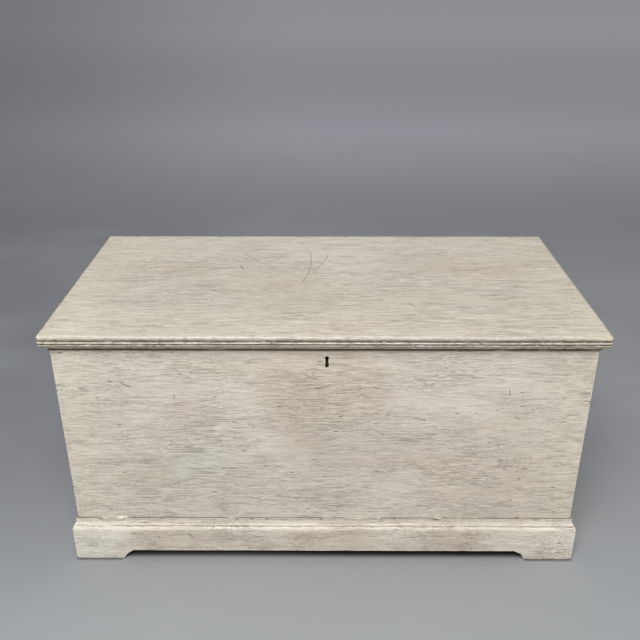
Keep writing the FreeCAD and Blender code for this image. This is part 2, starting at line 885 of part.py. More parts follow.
# ---- Making the pieces --------------------------------------------------------------------
def make_bottom(nails):
    """Bottom boards and their nails."""
    names = ["bottom_board_front", "bottom_board_middle", "bottom_board_back"]
    for name, board in zip(names, bottom_boards()):
        save(name, board.cut(nails))
    save("bottom_nails", *nails)


def make_box(nails):
    """The four dovetailed boards, with the lock's and the hinges' recesses."""
    down = Vector(0, 0, -1)
    outwards = Vector(0, -1, 0)
    plate_places, edge_places = lock_screw_places()
    hole_y = (body_front - past, front_inside)
    front = long_board((body_front, front_inside))
    front = front.cut([lock_recess(), prism(keyhole(keyhole_length), hole_y)])
    front = front.cut(screw_holes(plate_screw_length, plate_places, outwards))
    front = front.cut(screw_holes(plate_screw_length, edge_places, down))
    save("front_board", front.cut(nails))

    gain = hinge_gain((body_top - hinge_leaf_thickness, body_top + past))
    holes = screw_holes(hinge_screw_length, hinge_screw_places(body_top), down)
    cutters = [gain] + holes
    cutters += [mirrored(cutter) for cutter in cutters]
    back = long_board((back_inside, body_back)).cut(cutters)
    save("back_board", back.cut(nails))

    side = side_board()
    save("side_board_right", side.cut(nails))
    save("side_board_left", mirrored(side).cut(nails))


def make_plinth():
    """Plinth boards, their moulding strips and the blocks in the feet."""
    front, right, back = plinth_boards()
    save("plinth_front", front)
    save("plinth_right", right)
    save("plinth_left", mirrored(right))
    save("plinth_back", back)
    save("foot_blocks", *foot_blocks())
    strip = right_run(plinth_strip_profile(), body_back)
    save("plinth_moulding_front", front_run(plinth_strip_profile()))
    save("plinth_moulding_right", strip)
    save("plinth_moulding_left", mirrored(strip))


def make_lid():
    """Lid boards with their recesses, and the cove strips under the overhang."""
    up = Vector(0, 0, 1)
    gain = hinge_gain((lid_under - past, lid_under + hinge_leaf_thickness))
    holes = screw_holes(hinge_screw_length, hinge_screw_places(lid_under), up)
    cutters = [gain] + holes
    cutters += [mirrored(cutter) for cutter in cutters]
    cutters.append(link_recess())
    cutters += screw_holes(plate_screw_length, link_screw_places(), up)
    names = ["lid_board_front", "lid_board_middle", "lid_board_back"]
    for name, board in zip(names, lid_boards()):
        save(name, board.cut(cutters))
    strip = right_run(cove_profile(), lid_back)
    save("lid_moulding_front", front_run(cove_profile()))
    save("lid_moulding_right", strip)
    save("lid_moulding_left", mirrored(strip))


def make_hinges():
    """Both butt hinges: body leaves, lid leaves, pins and screws."""
    body_z = (body_top - hinge_leaf_thickness, body_top)
    lid_z = (lid_under, lid_under + hinge_leaf_thickness)
    sets = (
        ("body", body_z, 0, body_top, Vector(0, 0, -1)),
        ("lid", lid_z, 1, lid_under, Vector(0, 0, 1)),
    )
    for side, leaf_z, own, face_z, direction in sets:
        places = hinge_screw_places(face_z)
        leaf = hinge_leaf(leaf_z, own, screw_holes(hinge_screw_length, places, direction))
        save("hinge_" + side + "_leaf_right", leaf)
        save("hinge_" + side + "_leaf_left", mirrored(leaf))
        right = screws(hinge_screw_length, places, direction)
        save("hinge_" + side + "_screws", *right, *[mirrored(screw) for screw in right])
    ends = (hinge_x - hinge_length / 2, hinge_x + hinge_length / 2)
    pin = rod(ends, pin_y, pin_z, hinge_pin_radius)
    save("hinge_pin_right", pin)
    save("hinge_pin_left", mirrored(pin))


def make_lock():
    """The lock in the front board and the link plate in the lid."""
    down = Vector(0, 0, -1)
    outwards = Vector(0, -1, 0)
    up = Vector(0, 0, 1)
    plate_places, edge_places = lock_screw_places()
    holes = screw_holes(plate_screw_length, plate_places, outwards)
    holes += screw_holes(plate_screw_length, edge_places, down)
    save("lock_plate", lock_plate().cut(holes))
    lock_screws = screws(plate_screw_length, plate_places, outwards)
    lock_screws += screws(plate_screw_length, edge_places, down)
    save("lock_screws", *lock_screws)
    save("lock_cap", lock_cap())
    save("lock_bolt", bolt())
    save("lock_stumps", *[stump(x) for x in in_lock(-stump_offset, stump_offset)])
    save("lock_key_pin", key_pin())
    save("lock_ward", ward())
    save("lock_spring", lock_spring())

    staples = [staple(place) for place in staple_places]
    save("link_staple_left", staples[0])
    save("link_staple_right", staples[1])
    link_holes = screw_holes(plate_screw_length, link_screw_places(), up)
    save("link_plate", link_plate_block().cut(staples + link_holes))
    save("link_screws", *screws(plate_screw_length, link_screw_places(), up))


def main():
    """Write every piece of the chest."""
    os.makedirs("parts", exist_ok=True)
    nails = bottom_nails()
    make_bottom(nails)
    make_box(nails)
    make_plinth()
    make_lid()
    make_hinges()
    make_lock()


main()
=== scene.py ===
"""Painted pine blanket chest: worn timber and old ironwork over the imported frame, and a studio.

Metres, unless a name or a comment says mm. +X runs to the right along the front, +Y goes back
and +Z up. The origin is on the floor, under the middle of the lid.
"""
import logging
import math
from collections.abc import Callable, Iterator, Sequence
from contextlib import contextmanager
from dataclasses import dataclass, field
from enum import Enum
from functools import partial, reduce

import bmesh
import bpy
from bpy.types import ID, Material, Node, NodeSocket, NodeTree, Object, World
from mathutils import Matrix, Vector


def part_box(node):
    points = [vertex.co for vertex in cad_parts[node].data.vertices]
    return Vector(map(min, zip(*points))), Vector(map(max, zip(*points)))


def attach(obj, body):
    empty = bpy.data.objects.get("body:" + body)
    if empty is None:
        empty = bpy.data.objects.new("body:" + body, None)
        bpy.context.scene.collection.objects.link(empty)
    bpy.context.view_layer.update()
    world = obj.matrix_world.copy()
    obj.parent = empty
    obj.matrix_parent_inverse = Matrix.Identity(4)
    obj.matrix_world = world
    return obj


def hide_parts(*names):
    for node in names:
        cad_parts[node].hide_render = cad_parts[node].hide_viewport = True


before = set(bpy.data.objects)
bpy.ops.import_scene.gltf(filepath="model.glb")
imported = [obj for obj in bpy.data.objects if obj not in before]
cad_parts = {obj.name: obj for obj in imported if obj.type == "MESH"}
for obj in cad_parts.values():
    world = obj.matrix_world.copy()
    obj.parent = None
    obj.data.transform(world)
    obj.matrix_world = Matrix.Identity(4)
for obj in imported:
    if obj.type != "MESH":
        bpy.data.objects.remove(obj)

log = logging.getLogger("blanket_chest")

MM = 0.001
PAST = 0.001                        # how far a cutter runs past the wood
MERGE = 0.01 * MM                   # corners that are closer than this become one
NEAR = 0.05 * MM                    # how far a corner may be off the plane that it lies on
ARC_STEPS = 7                       # chords of an arc in a profile
CORNER_STEPS = 10                   # chords round a front corner of the lid
SMOOTH_BELOW = math.radians(35)     # edges bent less than this are shaded smooth
BEVEL_ABOVE = math.radians(40)      # edges bent more than this are rounded
FLAT_BELOW = math.radians(1)        # faces bent less than this are one
FULL_BEND = math.radians(50)        # an edge bent this much counts as wholly sharp
HOLLOW_GAIN = 1.6                   # how much sooner an inward corner does
ARRIS = "arris"                     # vertex attribute: how sharp an outward edge is, 0 to 1
HOLLOW = "hollow"                   # vertex attribute: how sharp an inward corner is, raised where dirt and painted shade lie, 0 to 1
ENDS = {"front": (-1, 1), "left": (-1,), "right": (1,)}     # the mitred corners of each run

# Faces that marks lie on, in mm.
LID_TOP = 502.4
FRONT = -240.0
PLINTH_FRONT = -251.5
STRIP_FRONT = -245.4

Corner = tuple[float, ...]
Place = tuple[float, float, float]
Profile = list[tuple[float, float]]


class Brush(Enum):
    """The way the grain and the brush marks run on a face: the number of the axis."""

    ALONG_X = 0
    ALONG_Y = 1

    def stretch(self, along: float, across: float) -> Place:
        """Scale of a pattern that is drawn out along the brush, from two sizes in mm.

        Args:
            along: Size along the brush.
            across: Size across it. Level faces get half as much again, as the widths of their
                lines would be lost at the low angle at which they are seen.

        Returns:
            The scale on each axis.
        """
        scale = [1 / (across * 1.5 * MM)] * 2 + [1 / (across * MM)]
        scale[self.value] = 1 / (along * MM)
        return tuple(scale)


# ---- Nodes --------------------------------------------------------------------------------
def srgb(code: str) -> tuple[float, float, float, float]:
    """Turn an sRGB hex colour into the linear colour that sockets take.

    Args:
        code: A number sign and six hex digits.

    Returns:
        Red, green, blue and full alpha.
    """
    parts = [int(code[index:index + 2], 16) / 255 for index in (1, 3, 5)]
    linear = [part / 12.92 if part <= 0.04045 else ((part + 0.055) / 1.055) ** 2.4 for part in parts]
    return (*linear, 1.0)


class Nodes:
    """Adds nodes to the tree of a material or of the world."""

    tree: NodeTree

    def start(self, owner: Material | World) -> None:
        """Empty the tree of a new material or world.

        Args:
            owner: The material or the world.
        """
        owner.use_nodes = True
        self.tree = owner.node_tree
        self.tree.nodes.clear()

    def add(self, kind: str, inputs: dict | None = None, **settings: object) -> Node:
        """Add a node with its settings and links.

        Args:
            kind: The node's type, without ShaderNode.
            inputs: A value, or another node's output, for each named or numbered input.
            settings: The node's own settings.

        Returns:
            The new node.
        """
        node = self.tree.nodes.new(f"ShaderNode{kind}")
        for name, value in settings.items():
            setattr(node, name, value)
        for key, value in (inputs or {}).items():
            if isinstance(value, NodeSocket):
                self.tree.links.new(value, node.inputs[key])
            else:
                node.inputs[key].default_value = value
        return node

    def calc(self, operation: str, *values: NodeSocket | float) -> NodeSocket:
        """One step of arithmetic."""
        return self.add("Math", dict(enumerate(values)), operation=operation).outputs[0]

    def vector(self, operation: str, *values: NodeSocket | Sequence[float]) -> NodeSocket:
        """One step with vectors, which gives a vector, a distance or a length."""
        node = self.add("VectorMath", dict(enumerate(values)), operation=operation)
        return node.outputs["Value" if operation in ("DISTANCE", "LENGTH") else "Vector"]

    def axis(self, coords: NodeSocket, name: str) -> NodeSocket:
        """One coordinate of a vector."""
        return self.add("SeparateXYZ", {0: coords}).outputs[name]

    def product(self, *masks: NodeSocket | float) -> NodeSocket:
        """All the masks multiplied."""
        return reduce(partial(self.calc, "MULTIPLY"), masks)

    def mask(self, value: NodeSocket, none: float, full: float, most: float = 1.0) -> NodeSocket:
        """Smooth mask of a value: 0 where it is none, and the most where it is full."""
        inputs = {"Value": value, "From Min": none, "From Max": full, "To Max": most}
        return self.add("MapRange", inputs, interpolation_type="SMOOTHSTEP").outputs[0]

    def layered(self, ground: str, layers: Sequence[tuple[NodeSocket, str]]) -> NodeSocket:
        """Colours laid over each other.

        Args:
            ground: The lowest colour.
            layers: A mask and a colour for each layer, lowest first.

        Returns:
            The finished colour.
        """
        colour = srgb(ground)
        for share, code in layers:
            mixed = self.add("Mix", {0: share, 6: colour, 7: srgb(code)}, data_type="RGBA")
            colour = mixed.outputs[2]
        return colour


# ---- Finishes -----------------------------------------------------------------------------
@dataclass(frozen=True)
class Scratch:
    """One old scratch or dent: a thin line, straight or bowed, on the lid or on the front."""

    middle: Place                   # mm
    angle: float                    # degrees, from the right
    half_length: float              # mm
    width: float = 1.5              # mm on either side, so that it still shows in the render
    bow: float = 0.0                # mm, rise of its middle over its ends, to the left of its way
    upright: bool = True            # on a front, not on the lid


@dataclass(frozen=True)
class Spot:
    """A place where the paint is crazed right through, or leans to another colour."""

    middle: Place                   # mm
    radius: float                   # mm
    share: float                    # how plain it is, 0 to 1
    colour: str = ""                # of the tint


def level(kind: Callable[..., Scratch | Spot], *rows: tuple) -> tuple:
    """Marks on top of the lid, from rows of X, Y and what else the kind takes."""
    return tuple(kind((x, y, LID_TOP), *rest) for x, y, *rest in rows)


def upright(kind: Callable[..., Scratch | Spot], depth: float, *rows: tuple) -> tuple:
    """Marks on an upright face, from rows of X, Z and what else the kind takes."""
    return tuple(kind((x, depth, z), *rest) for x, z, *rest in rows)


@dataclass
class Finish(Nodes):
    """A material, and the steps that the finishes share."""

    name: str
    brush: Brush = Brush.ALONG_X
    straight: NodeSocket = field(init=False)        # the Object coordinates
    coords: NodeSocket = field(init=False)          # those that the noises use

    def material(self) -> Material:
        """Build the material.

        Returns:
            The material.
        """
        material = bpy.data.materials.new(self.name)
        self.start(material)
        self.straight = self.coords = self.add("TexCoord").outputs["Object"]
        self.lay()
        return material

    def lay(self) -> None:
        """Add the nodes of the finish."""
        raise NotImplementedError

    def noise(self, along: float, across: float, shift: float, detail: float = 3.0) -> NodeSocket:
        """Cloudy noise drawn out along the brush.

        Args:
            along: Length of a mark, in mm.
            across: Width of a mark, in mm.
            shift: Moves the pattern, so that no two layers match.
            detail: How many finer layers it has.

        Returns:
            The noise, from 0 to 1 around 0.5.
        """
        placed = self.add("Mapping", {
            "Vector": self.coords, "Scale": self.brush.stretch(along, across),
            "Location": (shift, shift, shift)})
        return self.add("TexNoise", {
            "Vector": placed.outputs[0], "Scale": 1.0, "Detail": detail,
            "Roughness": 0.58}).outputs[0]

    def cells(self, coords: NodeSocket, feature: str = "F1", **placing: Place) -> NodeSocket:
        """Distance to the middle of scattered cells, or to their edge, as the feature says."""
        inputs = {"Vector": self.add("Mapping", {"Vector": coords, **placing}).outputs[0], "Scale": 1}
        return self.add("TexVoronoi", inputs, feature=feature).outputs["Distance"]

    def near(self, spot: Spot) -> NodeSocket:
        """A mask that fades out from the middle of a spot."""
        away = self.vector("DISTANCE", self.straight, tuple(part * MM for part in spot.middle))
        return self.mask(away, spot.radius * MM, 0.3 * spot.radius * MM, spot.share)

    def bump(self, height: NodeSocket, depth: float, strength: float = 1.0) -> NodeSocket:
        """A normal bent by a height, whose full range is a depth in mm."""
        inputs = {"Height": height, "Strength": strength, "Distance": depth * MM}
        return self.add("Bump", inputs).outputs[0]

    def surface(self, colour: NodeSocket, **inputs: NodeSocket | float) -> None:
        """End the tree with a shader of this colour."""
        shader = self.add("BsdfPrincipled", {"Base Color": colour, **inputs})
        self.add("OutputMaterial", {"Surface": shader.outputs[0]})


@dataclass
class PaintedPine(Finish):
    """Cream oil paint brushed thinly over pine whose soft grain has sunk.

    The eye gets a matt cream ground in fine broken streaks: pale on the ridges and brown where
    old wax and dirt lie in the grain, with faint warm and cool clouds, crazing and scratches.
    """

    ground: str = "#e1d8ca"
    ridge: str = "#e2dbcd"
    cool: str = "#babbb1"
    green: str = "#c6c0a4"
    rose: str = "#c3ae9d"
    cream: str = "#e6ddc9"
    band: str = "#a89a86"
    grain: str = "#6d5e4b"
    scuff: str = "#a38b73"
    crack: str = "#6b5843"
    scored: str = "#6d5e4b"
    # Dark colour of dirt and of painted shade in quirks and inward corners, and of dings.
    grime_and_shade: str = "#33251a"
    bare_edge: str = "#ebe5d9"
    line_length: float = 44.0       # mm
    line_width: float = 0.8         # wider than real pores, which would be lost in the render
    craze_cell: float = 5.0
    contrast: float = 1.0           # of the clouds and of the grain
    scuffed: float = 0.1            # share of the scuffs, 0 to 1
    relief: float = 0.5             # depth of the grain, in mm
    scratches: tuple[Scratch, ...] = ()
    tints: tuple[Spot, ...] = ()
    flaking: tuple[Spot, ...] = ()
    chipped_below: float = 0.0      # mm, height under which a moulding is chipped
    rubbed_above: float = 9999.0    # mm, height over which the paint is rubbed pale and painted lighter as a highlight
    fade: float = 4.0               # mm, how soon either of them comes in

    def lay(self) -> None:
        """Lay the paint, its dirt and painted shade, its damage and a painted highlight over each
        other.
        """
        mask, noise, product, much = self.mask, self.noise, self.product, self.contrast
        self.coords = self.wavering()
        pores, scuffs, craze, ding = self.pores(), self.scuffs(), self.crazing(), self.dings()
        fine = noise(self.line_length, self.line_width, 3.1, 2.0)
        flecks = noise(self.line_length * 0.2, self.line_width, 27.3, 2.0)
        sweep = noise(self.line_length * 3, self.line_width * 4, 61.7)
        clouds = [noise(*marks, 2.0) for marks in ((240, 130, 23.3), (170, 90, 71.7), (620, 40, 5.7))]
        arris, hollow = (self.add("Attribute", attribute_name=name).outputs["Fac"]
                         for name in (ARRIS, HOLLOW))
        ends = self.axis(self.vector("ABSOLUTE", self.straight), "X")
        height = self.axis(self.straight, "Z")
        low = mask(height, self.chipped_below * MM, (self.chipped_below - self.fade) * MM)
        rubbed = mask(height, self.rubbed_above * MM, (self.rubbed_above + self.fade) * MM, 0.5)
        busy = self.calc("MULTIPLY_ADD", mask(noise(280, 60, 5.5, 2.0), 0.38, 0.58), 0.5, 0.5)

        colour = self.layered(self.ground, (
            (mask(clouds[0], 0.46, 0.70, 0.36 * much), self.cool),
            (mask(clouds[0], 0.44, 0.28, 0.34 * much), self.green),
            (mask(clouds[1], 0.48, 0.68, 0.36 * much), self.rose),
            (mask(ends, 0.34, 0.50, 0.85), self.cream),
            *((self.near(tint), tint.colour) for tint in self.tints),
            # Paler above a height: rubbed paint and a painted highlight.
            (rubbed, self.bare_edge),
            (mask(clouds[2], 0.50, 0.72, 0.10 * much), self.band),
            (product(mask(sweep, 0.47, 0.33, 0.12 * much),
                     mask(noise(230, 55, 41.9, 2.0), 0.34, 0.62)), self.band),
            (product(scuffs, mask(ends, 0.46, 0.36, 0.20 + 0.25 * self.scuffed)), self.scuff),
            *((product(mask(lines, none, full, most * much), busy), shade)
              for lines, none, full, most, shade in (
                  (fine, 0.48, 0.38, 0.44, self.grain), (fine, 0.53, 0.61, 0.80, self.ridge),
                  (flecks, 0.43, 0.36, 0.36, self.grain), (flecks, 0.58, 0.64, 0.80, self.ridge))),
            (product(pores, busy, 0.70 * much), self.grain),
            (product(craze, 0.70), self.crack),
            (product(ding, 0.70), self.grime_and_shade),
            *((product(area, mask(noise(*marks), *limits)), shade)
              for area, marks, limits, shade in (
                  (arris, (30, 5, 91.1), (0.38, 0.54, 0.75), self.bare_edge),
                  # Dirt and painted shade in the quirks and inward corners.
                  (hollow, (60, 7, 57.9, 4.0), (0.28, 0.46, 0.80), self.grime_and_shade),
                  (arris, (14, 4, 33.7), (0.57, 0.63, 0.80), self.grain),
                  (low, (15, 3, 12.7), (0.54, 0.62, 0.65), self.grain),
                  (low, (11, 3, 44.1), (0.56, 0.64, 0.50), self.bare_edge))),
            *((self.scratch(mark), self.scored) for mark in self.scratches),
        ))
        relief = fine
        for area, depth in ((flecks, 0.4), (pores, -0.5), (craze, -0.6), (ding, -0.6),
                            (scuffs, -0.15)):
            relief = self.calc("MULTIPLY_ADD", area, depth, relief)
        self.surface(colour, Roughness=mask(fine, 0.3, 0.7, 0.62),
                     Normal=self.bump(relief, self.relief))

    def wavering(self) -> NodeSocket:
        """The coordinates, moved so that the grain wavers a few mm across its run."""
        sway = [0.0 if axis == self.brush.value else 11 * MM for axis in range(3)]
        return self.vector("MULTIPLY_ADD", self.noise(160, 70, 83.1, 2.0), sway, self.coords)

    def crazing(self) -> NodeSocket:
        """Fine cracks in patches, plainest where the paint flakes.

        Returns:
            The mask.
        """
        bent = self.vector("MULTIPLY_ADD", self.noise(6, 4, 13.1, 2.0), (9 * MM,) * 3, self.coords)
        edges = self.cells(bent, "DISTANCE_TO_EDGE",
                           Scale=self.brush.stretch(self.craze_cell * 2.2, self.craze_cell))
        edge = 0.66 - 0.12 * self.scuffed
        patch = self.mask(self.noise(90, 45, 63.7), edge - 0.10, edge, 0.22 + 0.10 * self.scuffed)
        broken = self.mask(self.noise(14, 9, 77.9, 2.0), 0.42, 0.54)
        for spot in self.flaking:
            patch = self.calc("MAXIMUM", patch, self.product(self.near(spot), broken))
        return self.product(self.mask(edges, 0.16, 0.03), patch)

    def dings(self) -> NodeSocket:
        """Small slanting dings.

        Returns:
            The mask.
        """
        spacing = (1 / (110 * MM), 1 / (22 * MM), 1 / (22 * MM))
        away = (self.cells(self.coords, Rotation=(0.0, turn, turn), Location=(shift,) * 3,
                           Scale=spacing) for turn, shift in ((0.45, 3.0), (-0.7, 11.0), (0.1, 19.0)))
        return reduce(partial(self.calc, "MAXIMUM"),
                      (self.mask(distance, 0.055, 0.030) for distance in away))

    def pores(self) -> NodeSocket:
        """Thin broken lines where dirt lies in the open grain.

        Returns:
            The mask.
        """
        long, wide = self.line_length, self.line_width
        line = self.mask(self.noise(long * 2.2, wide, 3.3, 1.0), 0.40, 0.355)
        hair = self.mask(self.noise(long * 0.8, wide * 0.85, 53.9, 1.0), 0.39, 0.345)
        dirty = self.mask(self.noise(120, 26, 7.7), 0.42, 0.60)
        return self.product(self.calc("MAXIMUM", line, hair),
                            self.calc("MULTIPLY_ADD", dirty, 0.4, 0.4))

    def scuffs(self) -> NodeSocket:
        """Patches where the paint is rubbed thin and the brown wood shows.

        Returns:
            The mask.
        """
        edge = 0.68 - 0.16 * self.scuffed
        return self.product(self.mask(self.noise(150, 45, 47.7, 2.0), edge - 0.10, edge + 0.06),
                            self.mask(self.noise(46, 3.5, 31.1, 4.0), 0.40, 0.60))

    def scratch(self, mark: Scratch) -> NodeSocket:
        """One scratch.

        Args:
            mark: Where it is.

        Returns:
            Its mask.
        """
        angle, bow = math.radians(mark.angle), mark.bow / mark.width
        placed = self.add("Mapping", {
            "Vector": self.straight, "Location": tuple(part * MM for part in mark.middle),
            "Rotation": (0.0, -angle, 0.0) if mark.upright else (0.0, 0.0, angle),
            "Scale": (mark.half_length * MM, mark.width * MM, mark.width * MM)},
            vector_type="TEXTURE").outputs[0]
        along = self.calc("ABSOLUTE", self.axis(placed, "X"))
        flat = self.add("CombineXYZ", {1: self.axis(placed, "Y"), 2: self.axis(placed, "Z")})
        bowed = self.vector("MULTIPLY_ADD", self.product(along, along),
                            (0.0, 0.0, bow) if mark.upright else (0.0, bow, 0.0), flat.outputs[0])
        return self.product(self.mask(self.vector("LENGTH", bowed), 1.0, 0.3, 0.8),
                            self.mask(along, 1.0, 0.8))


@dataclass
class BarePine(Finish):
    """Old unpainted pine, planed by hand and never finished.

    The eye gets a dry honey ground with long darker growth lines and a few brown knots.
    """

    ground: str = "#b9966a"
    late_wood: str = "#8f6a42"
    pale: str = "#cbad82"
    knot: str = "#5d3d22"
    stain: str = "#77604a"
    ring_spacing: float = 7.0       # mm between growth lines
    knot_spacing: float = 210.0
    joints: tuple[float, ...] = ()  # mm, where boards that are one mesh are glued edge to edge

    def lay(self) -> None:
        """Lay the growth lines, the knots and the glue lines on the wood."""
        mask, noise = self.mask, self.noise
        depth = self.axis(self.straight, "Y")
        seams = []
        for joint in self.joints:
            off = self.calc("SUBTRACT", depth, joint * MM)
            self.coords = self.vector("MULTIPLY_ADD", self.calc("GREATER_THAN", off, 0.0),
                                      (0.93, 0.0, 0.31), self.coords)
            seams.append((mask(self.calc("ABSOLUTE", off), 1.6 * MM, 0.6 * MM, 0.75), self.knot))
        near_knot = self.cells(self.coords,
                               Scale=self.brush.stretch(self.knot_spacing * 3, self.knot_spacing))
        flow = self.calc("ADD", noise(1500, 75, 19.7, 2.0), mask(near_knot, 0.30, 0.0, 0.35))
        rings = self.calc("SINE", self.calc("MULTIPLY", flow, 60 / self.ring_spacing * 9))
        fibre = noise(60, 0.9, 7.7)
        colour = self.layered(self.ground, (
            (mask(noise(300, 90, 43.1, 2.0), 0.45, 0.7, 0.6), self.pale),
            (self.product(mask(rings, 0.1, 1.0), 0.55), self.late_wood),
            (mask(fibre, 0.52, 0.32, 0.35), self.late_wood),
            (mask(noise(160, 120, 87.3), 0.58, 0.75, 0.5), self.stain),
            (mask(near_knot, 0.065, 0.045, 0.9), self.knot),
            *seams,
        ))
        self.surface(colour, Roughness=0.68, Normal=self.bump(fibre, 0.3, 0.6))


@dataclass(kw_only=True)
class OldMetal(Finish):
    """Iron or steel of an old lock or hinge.

    The eye gets a dark dull sheen, broken by brown rust in clouds and by small pits.
    """

    ground: str
    rust: str
    rust_share: float               # 0 to 1
    roughness: float
    pit: float = 1.6                # mm
    pit_floor: str = "#15110d"

    def lay(self) -> None:
        """Lay rust and pits on the metal."""
        pits = self.noise(self.pit, self.pit, 9.2, 2.0)
        edge = 0.72 - 0.3 * self.rust_share
        rust = self.mask(self.noise(14, 14, 4.4, 4.0), edge - 0.12, edge + 0.08)
        colour = self.layered(self.ground, (
            (self.product(rust, 0.85), self.rust),
            (self.mask(pits, 0.42, 0.30, 0.5), self.pit_floor),
        ))
        rough = self.add("MapRange", {"Value": rust, "To Min": self.roughness, "To Max": 0.85})
        self.surface(colour, Metallic=self.calc("SUBTRACT", 1.0, rust),
                     Roughness=rough.outputs[0], Normal=self.bump(pits, 0.15, 0.5))


@dataclass
class ShadedGrimyCut(Finish):
    """Wood inside the keyhole, black with oil and handling and with painted shade: a dark matt brown,
    cut by a fretsaw.
    """

    ground: str = "#1c1712"
    worn: str = "#3a2f24"

    def lay(self) -> None:
        """Lay the saw marks on the dark wood."""
        marks = self.mask(self.noise(8, 1.2, 2.0), 0.45, 0.7)
        self.surface(self.layered(self.ground, ((marks, self.worn),)), Roughness=0.8)


@dataclass
class StudioFloor(Finish):
    """Painted studio floor that runs on behind: matt grey, paler towards the front."""

    front: str = "#929597"
    behind: str = "#87888d"
    # Painted light far away, where the lamps fall off.
    far: str = "#c4c6cf"
    farthest: str = "#dcdde6"
    shade: str = "#1d1815"          # deepens the shade under the chest
    # Painted shade beside and behind the chest.
    painted_side_shade: str = "#6f7278"
    mottle: str = "#9a9da1"

    def lay(self) -> None:
        """Lay painted light and shade from the front to the far end: paler at the front and far away,
        darker beside and behind the chest, and painted shade under it.
        """
        mask, product = self.mask, self.product
        across, depth = self.axis(self.coords, "X"), self.axis(self.coords, "Y")
        slant = self.calc("DIVIDE", across, self.calc("MULTIPLY_ADD", depth, 0.9, 1.77))
        sideways = self.calc("ABSOLUTE", across)
        inside = mask(depth, 0.23, 0.21)
        self.surface(self.layered(self.front, (
            # Painted shade behind the front of the floor, and painted light far away.
            (mask(depth, -0.75, 0.6), self.behind),
            (mask(depth, 1.45, 4.0), self.far),
            (mask(depth, 4.5, 11.0), self.farthest),
            # Painted shade to the left of and behind the chest.
            (product(mask(slant, 0.0, -0.50, 0.52), mask(depth, -0.5, 0.4)), self.painted_side_shade),
            (product(mask(slant, -0.05, -0.45, 0.42), mask(depth, -0.6, 0.2),
                     mask(depth, 1.3, 0.7)), self.painted_side_shade),
            # Painted shade under the chest, and a painted contact shadow in front of each foot.
            (product(mask(depth, -0.252, -0.234, 0.9), mask(sideways, 0.47, 0.44), inside),
             self.shade),
            (product(mask(depth, -0.259, -0.252, 0.65), mask(sideways, 0.398, 0.406),
                     mask(sideways, 0.501, 0.488), inside), self.shade),
            # Painted light to the right, behind the chest.
            (product(mask(slant, 0.05, 0.35, 0.4), mask(depth, 2.5, 1.3),
                     mask(depth, 0.8, 1.4)), self.front),
            (product(mask(self.noise(700, 350, 6.6), 0.45, 0.7, 0.3), mask(depth, 4.0, 1.5)),
             self.mottle),
        )), Roughness=0.9)


LID_SCRATCHES = level(
    partial(Scratch, upright=False),
    (-3.1, 89.5, -109.3, 55.0, 1.5, 6.3), (-29.0, 65.8, -95.0, 96.0, 1.5, 10.7),
    (-157.4, 122.4, -52.4, 34.0, 1.9), (-172.5, 64.1, -69.9, 15.0, 2.2),
    (165.3, -123.3, -57.9, 11.0, 1.9))
LID_FLAKING = level(
    Spot, (-262.0, -66.0, 120.0, 0.28), (-340.0, 30.0, 95.0, 0.38), (-20.0, 70.0, 60.0, 0.45),
    (150.0, -60.0, 50.0, 0.40))
LID_TINTS = level(
    Spot, (40.0, 60.0, 140.0, 0.35, "#cbc5bc"), (-60.0, -40.0, 170.0, 0.30, "#a8997f"),
    (330.0, 60.0, 130.0, 0.30, "#bfa995"), (0.0, 250.0, 300.0, 0.40, "#d8d1c3"),
    (-350.0, 240.0, 220.0, 0.40, "#d8d1c0"), (350.0, 240.0, 220.0, 0.40, "#d8d1c0"))
FRONT_SCRATCHES = upright(
    Scratch, FRONT, (-359.0, 397.3, -31.6, 12.5, 1.5, -1.9), (-271.6, 372.9, -90.8, 5.5, 1.0),
    (-149.8, 254.4, 16.7, 5.6, 1.8), (334.8, 382.6, -86.7, 7.3, 1.1),
    (354.7, 327.8, -28.0, 5.5, 1.1), (176.2, 325.2, -11.2, 13.2, 1.3),
    (372.6, 191.2, 31.9, 2.0, 2.0))
FRONT_FLAKING = upright(
    Spot, FRONT, (338.0, 227.0, 22.0, 0.6), (375.0, 226.0, 26.0, 0.6),
    (119.0, 212.0, 26.0, 0.54), (-20.0, 345.0, 70.0, 0.27), (-250.0, 300.0, 60.0, 0.24))
FRONT_TINTS = upright(
    Spot, FRONT, (-10.0, 420.0, 170.0, 0.25, "#c2a68d"), (40.0, 300.0, 190.0, 0.25, "#b8a793"),
    (-240.0, 205.0, 170.0, 0.40, "#c9cabf"), (-330.0, 205.0, 60.0, 0.20, "#a39a72"),
    (300.0, 190.0, 190.0, 0.25, "#cdb49b"))
PLINTH_SCRATCHES = upright(
    Scratch, PLINTH_FRONT, (-262.3, 60.6, -58.0, 8.3, 1.4),
    (-325.8, 54.6, -76.2, 4.0, 1.5), (392.8, 13.5, -48.6, 5.5, 3.0))
STRIP_SCRATCHES = upright(
    Scratch, STRIP_FRONT, (-412.8, 87.9, -0.4, 12.3, 1.9),
    (-381.9, 87.0, -0.6, 8.8, 1.7), (-352.9, 86.8, -0.6, 9.3, 2.1),
    (-298.4, 86.3, -1.0, 5.9, 1.8), (-280.7, 85.6, -0.7, 7.9, 1.6))
PLINTH_FLAKING = upright(
    Spot, PLINTH_FRONT, (456.0, 26.0, 60.0, 0.6), (300.0, 50.0, 60.0, 0.5),
    (-440.0, 78.0, 55.0, 0.25))
PLINTH_TINTS = upright(
    Spot, PLINTH_FRONT, (-320.0, 66.0, 85.0, 0.35, "#b39b82"),
    (20.0, 56.0, 120.0, 0.35, "#b39a83"), (250.0, 44.0, 105.0, 0.32, "#b39a83"),
    (-455.0, 45.0, 85.0, 0.70, "#f0eee0"))


def both_ways(kind: type[Finish], name: str, **recipe: object) -> dict[Brush, Material]:
    """One finish for each way of the brush."""
    return {brush: kind(f"{name}_{brush.name.lower()}", brush, **recipe).material()
            for brush in Brush}


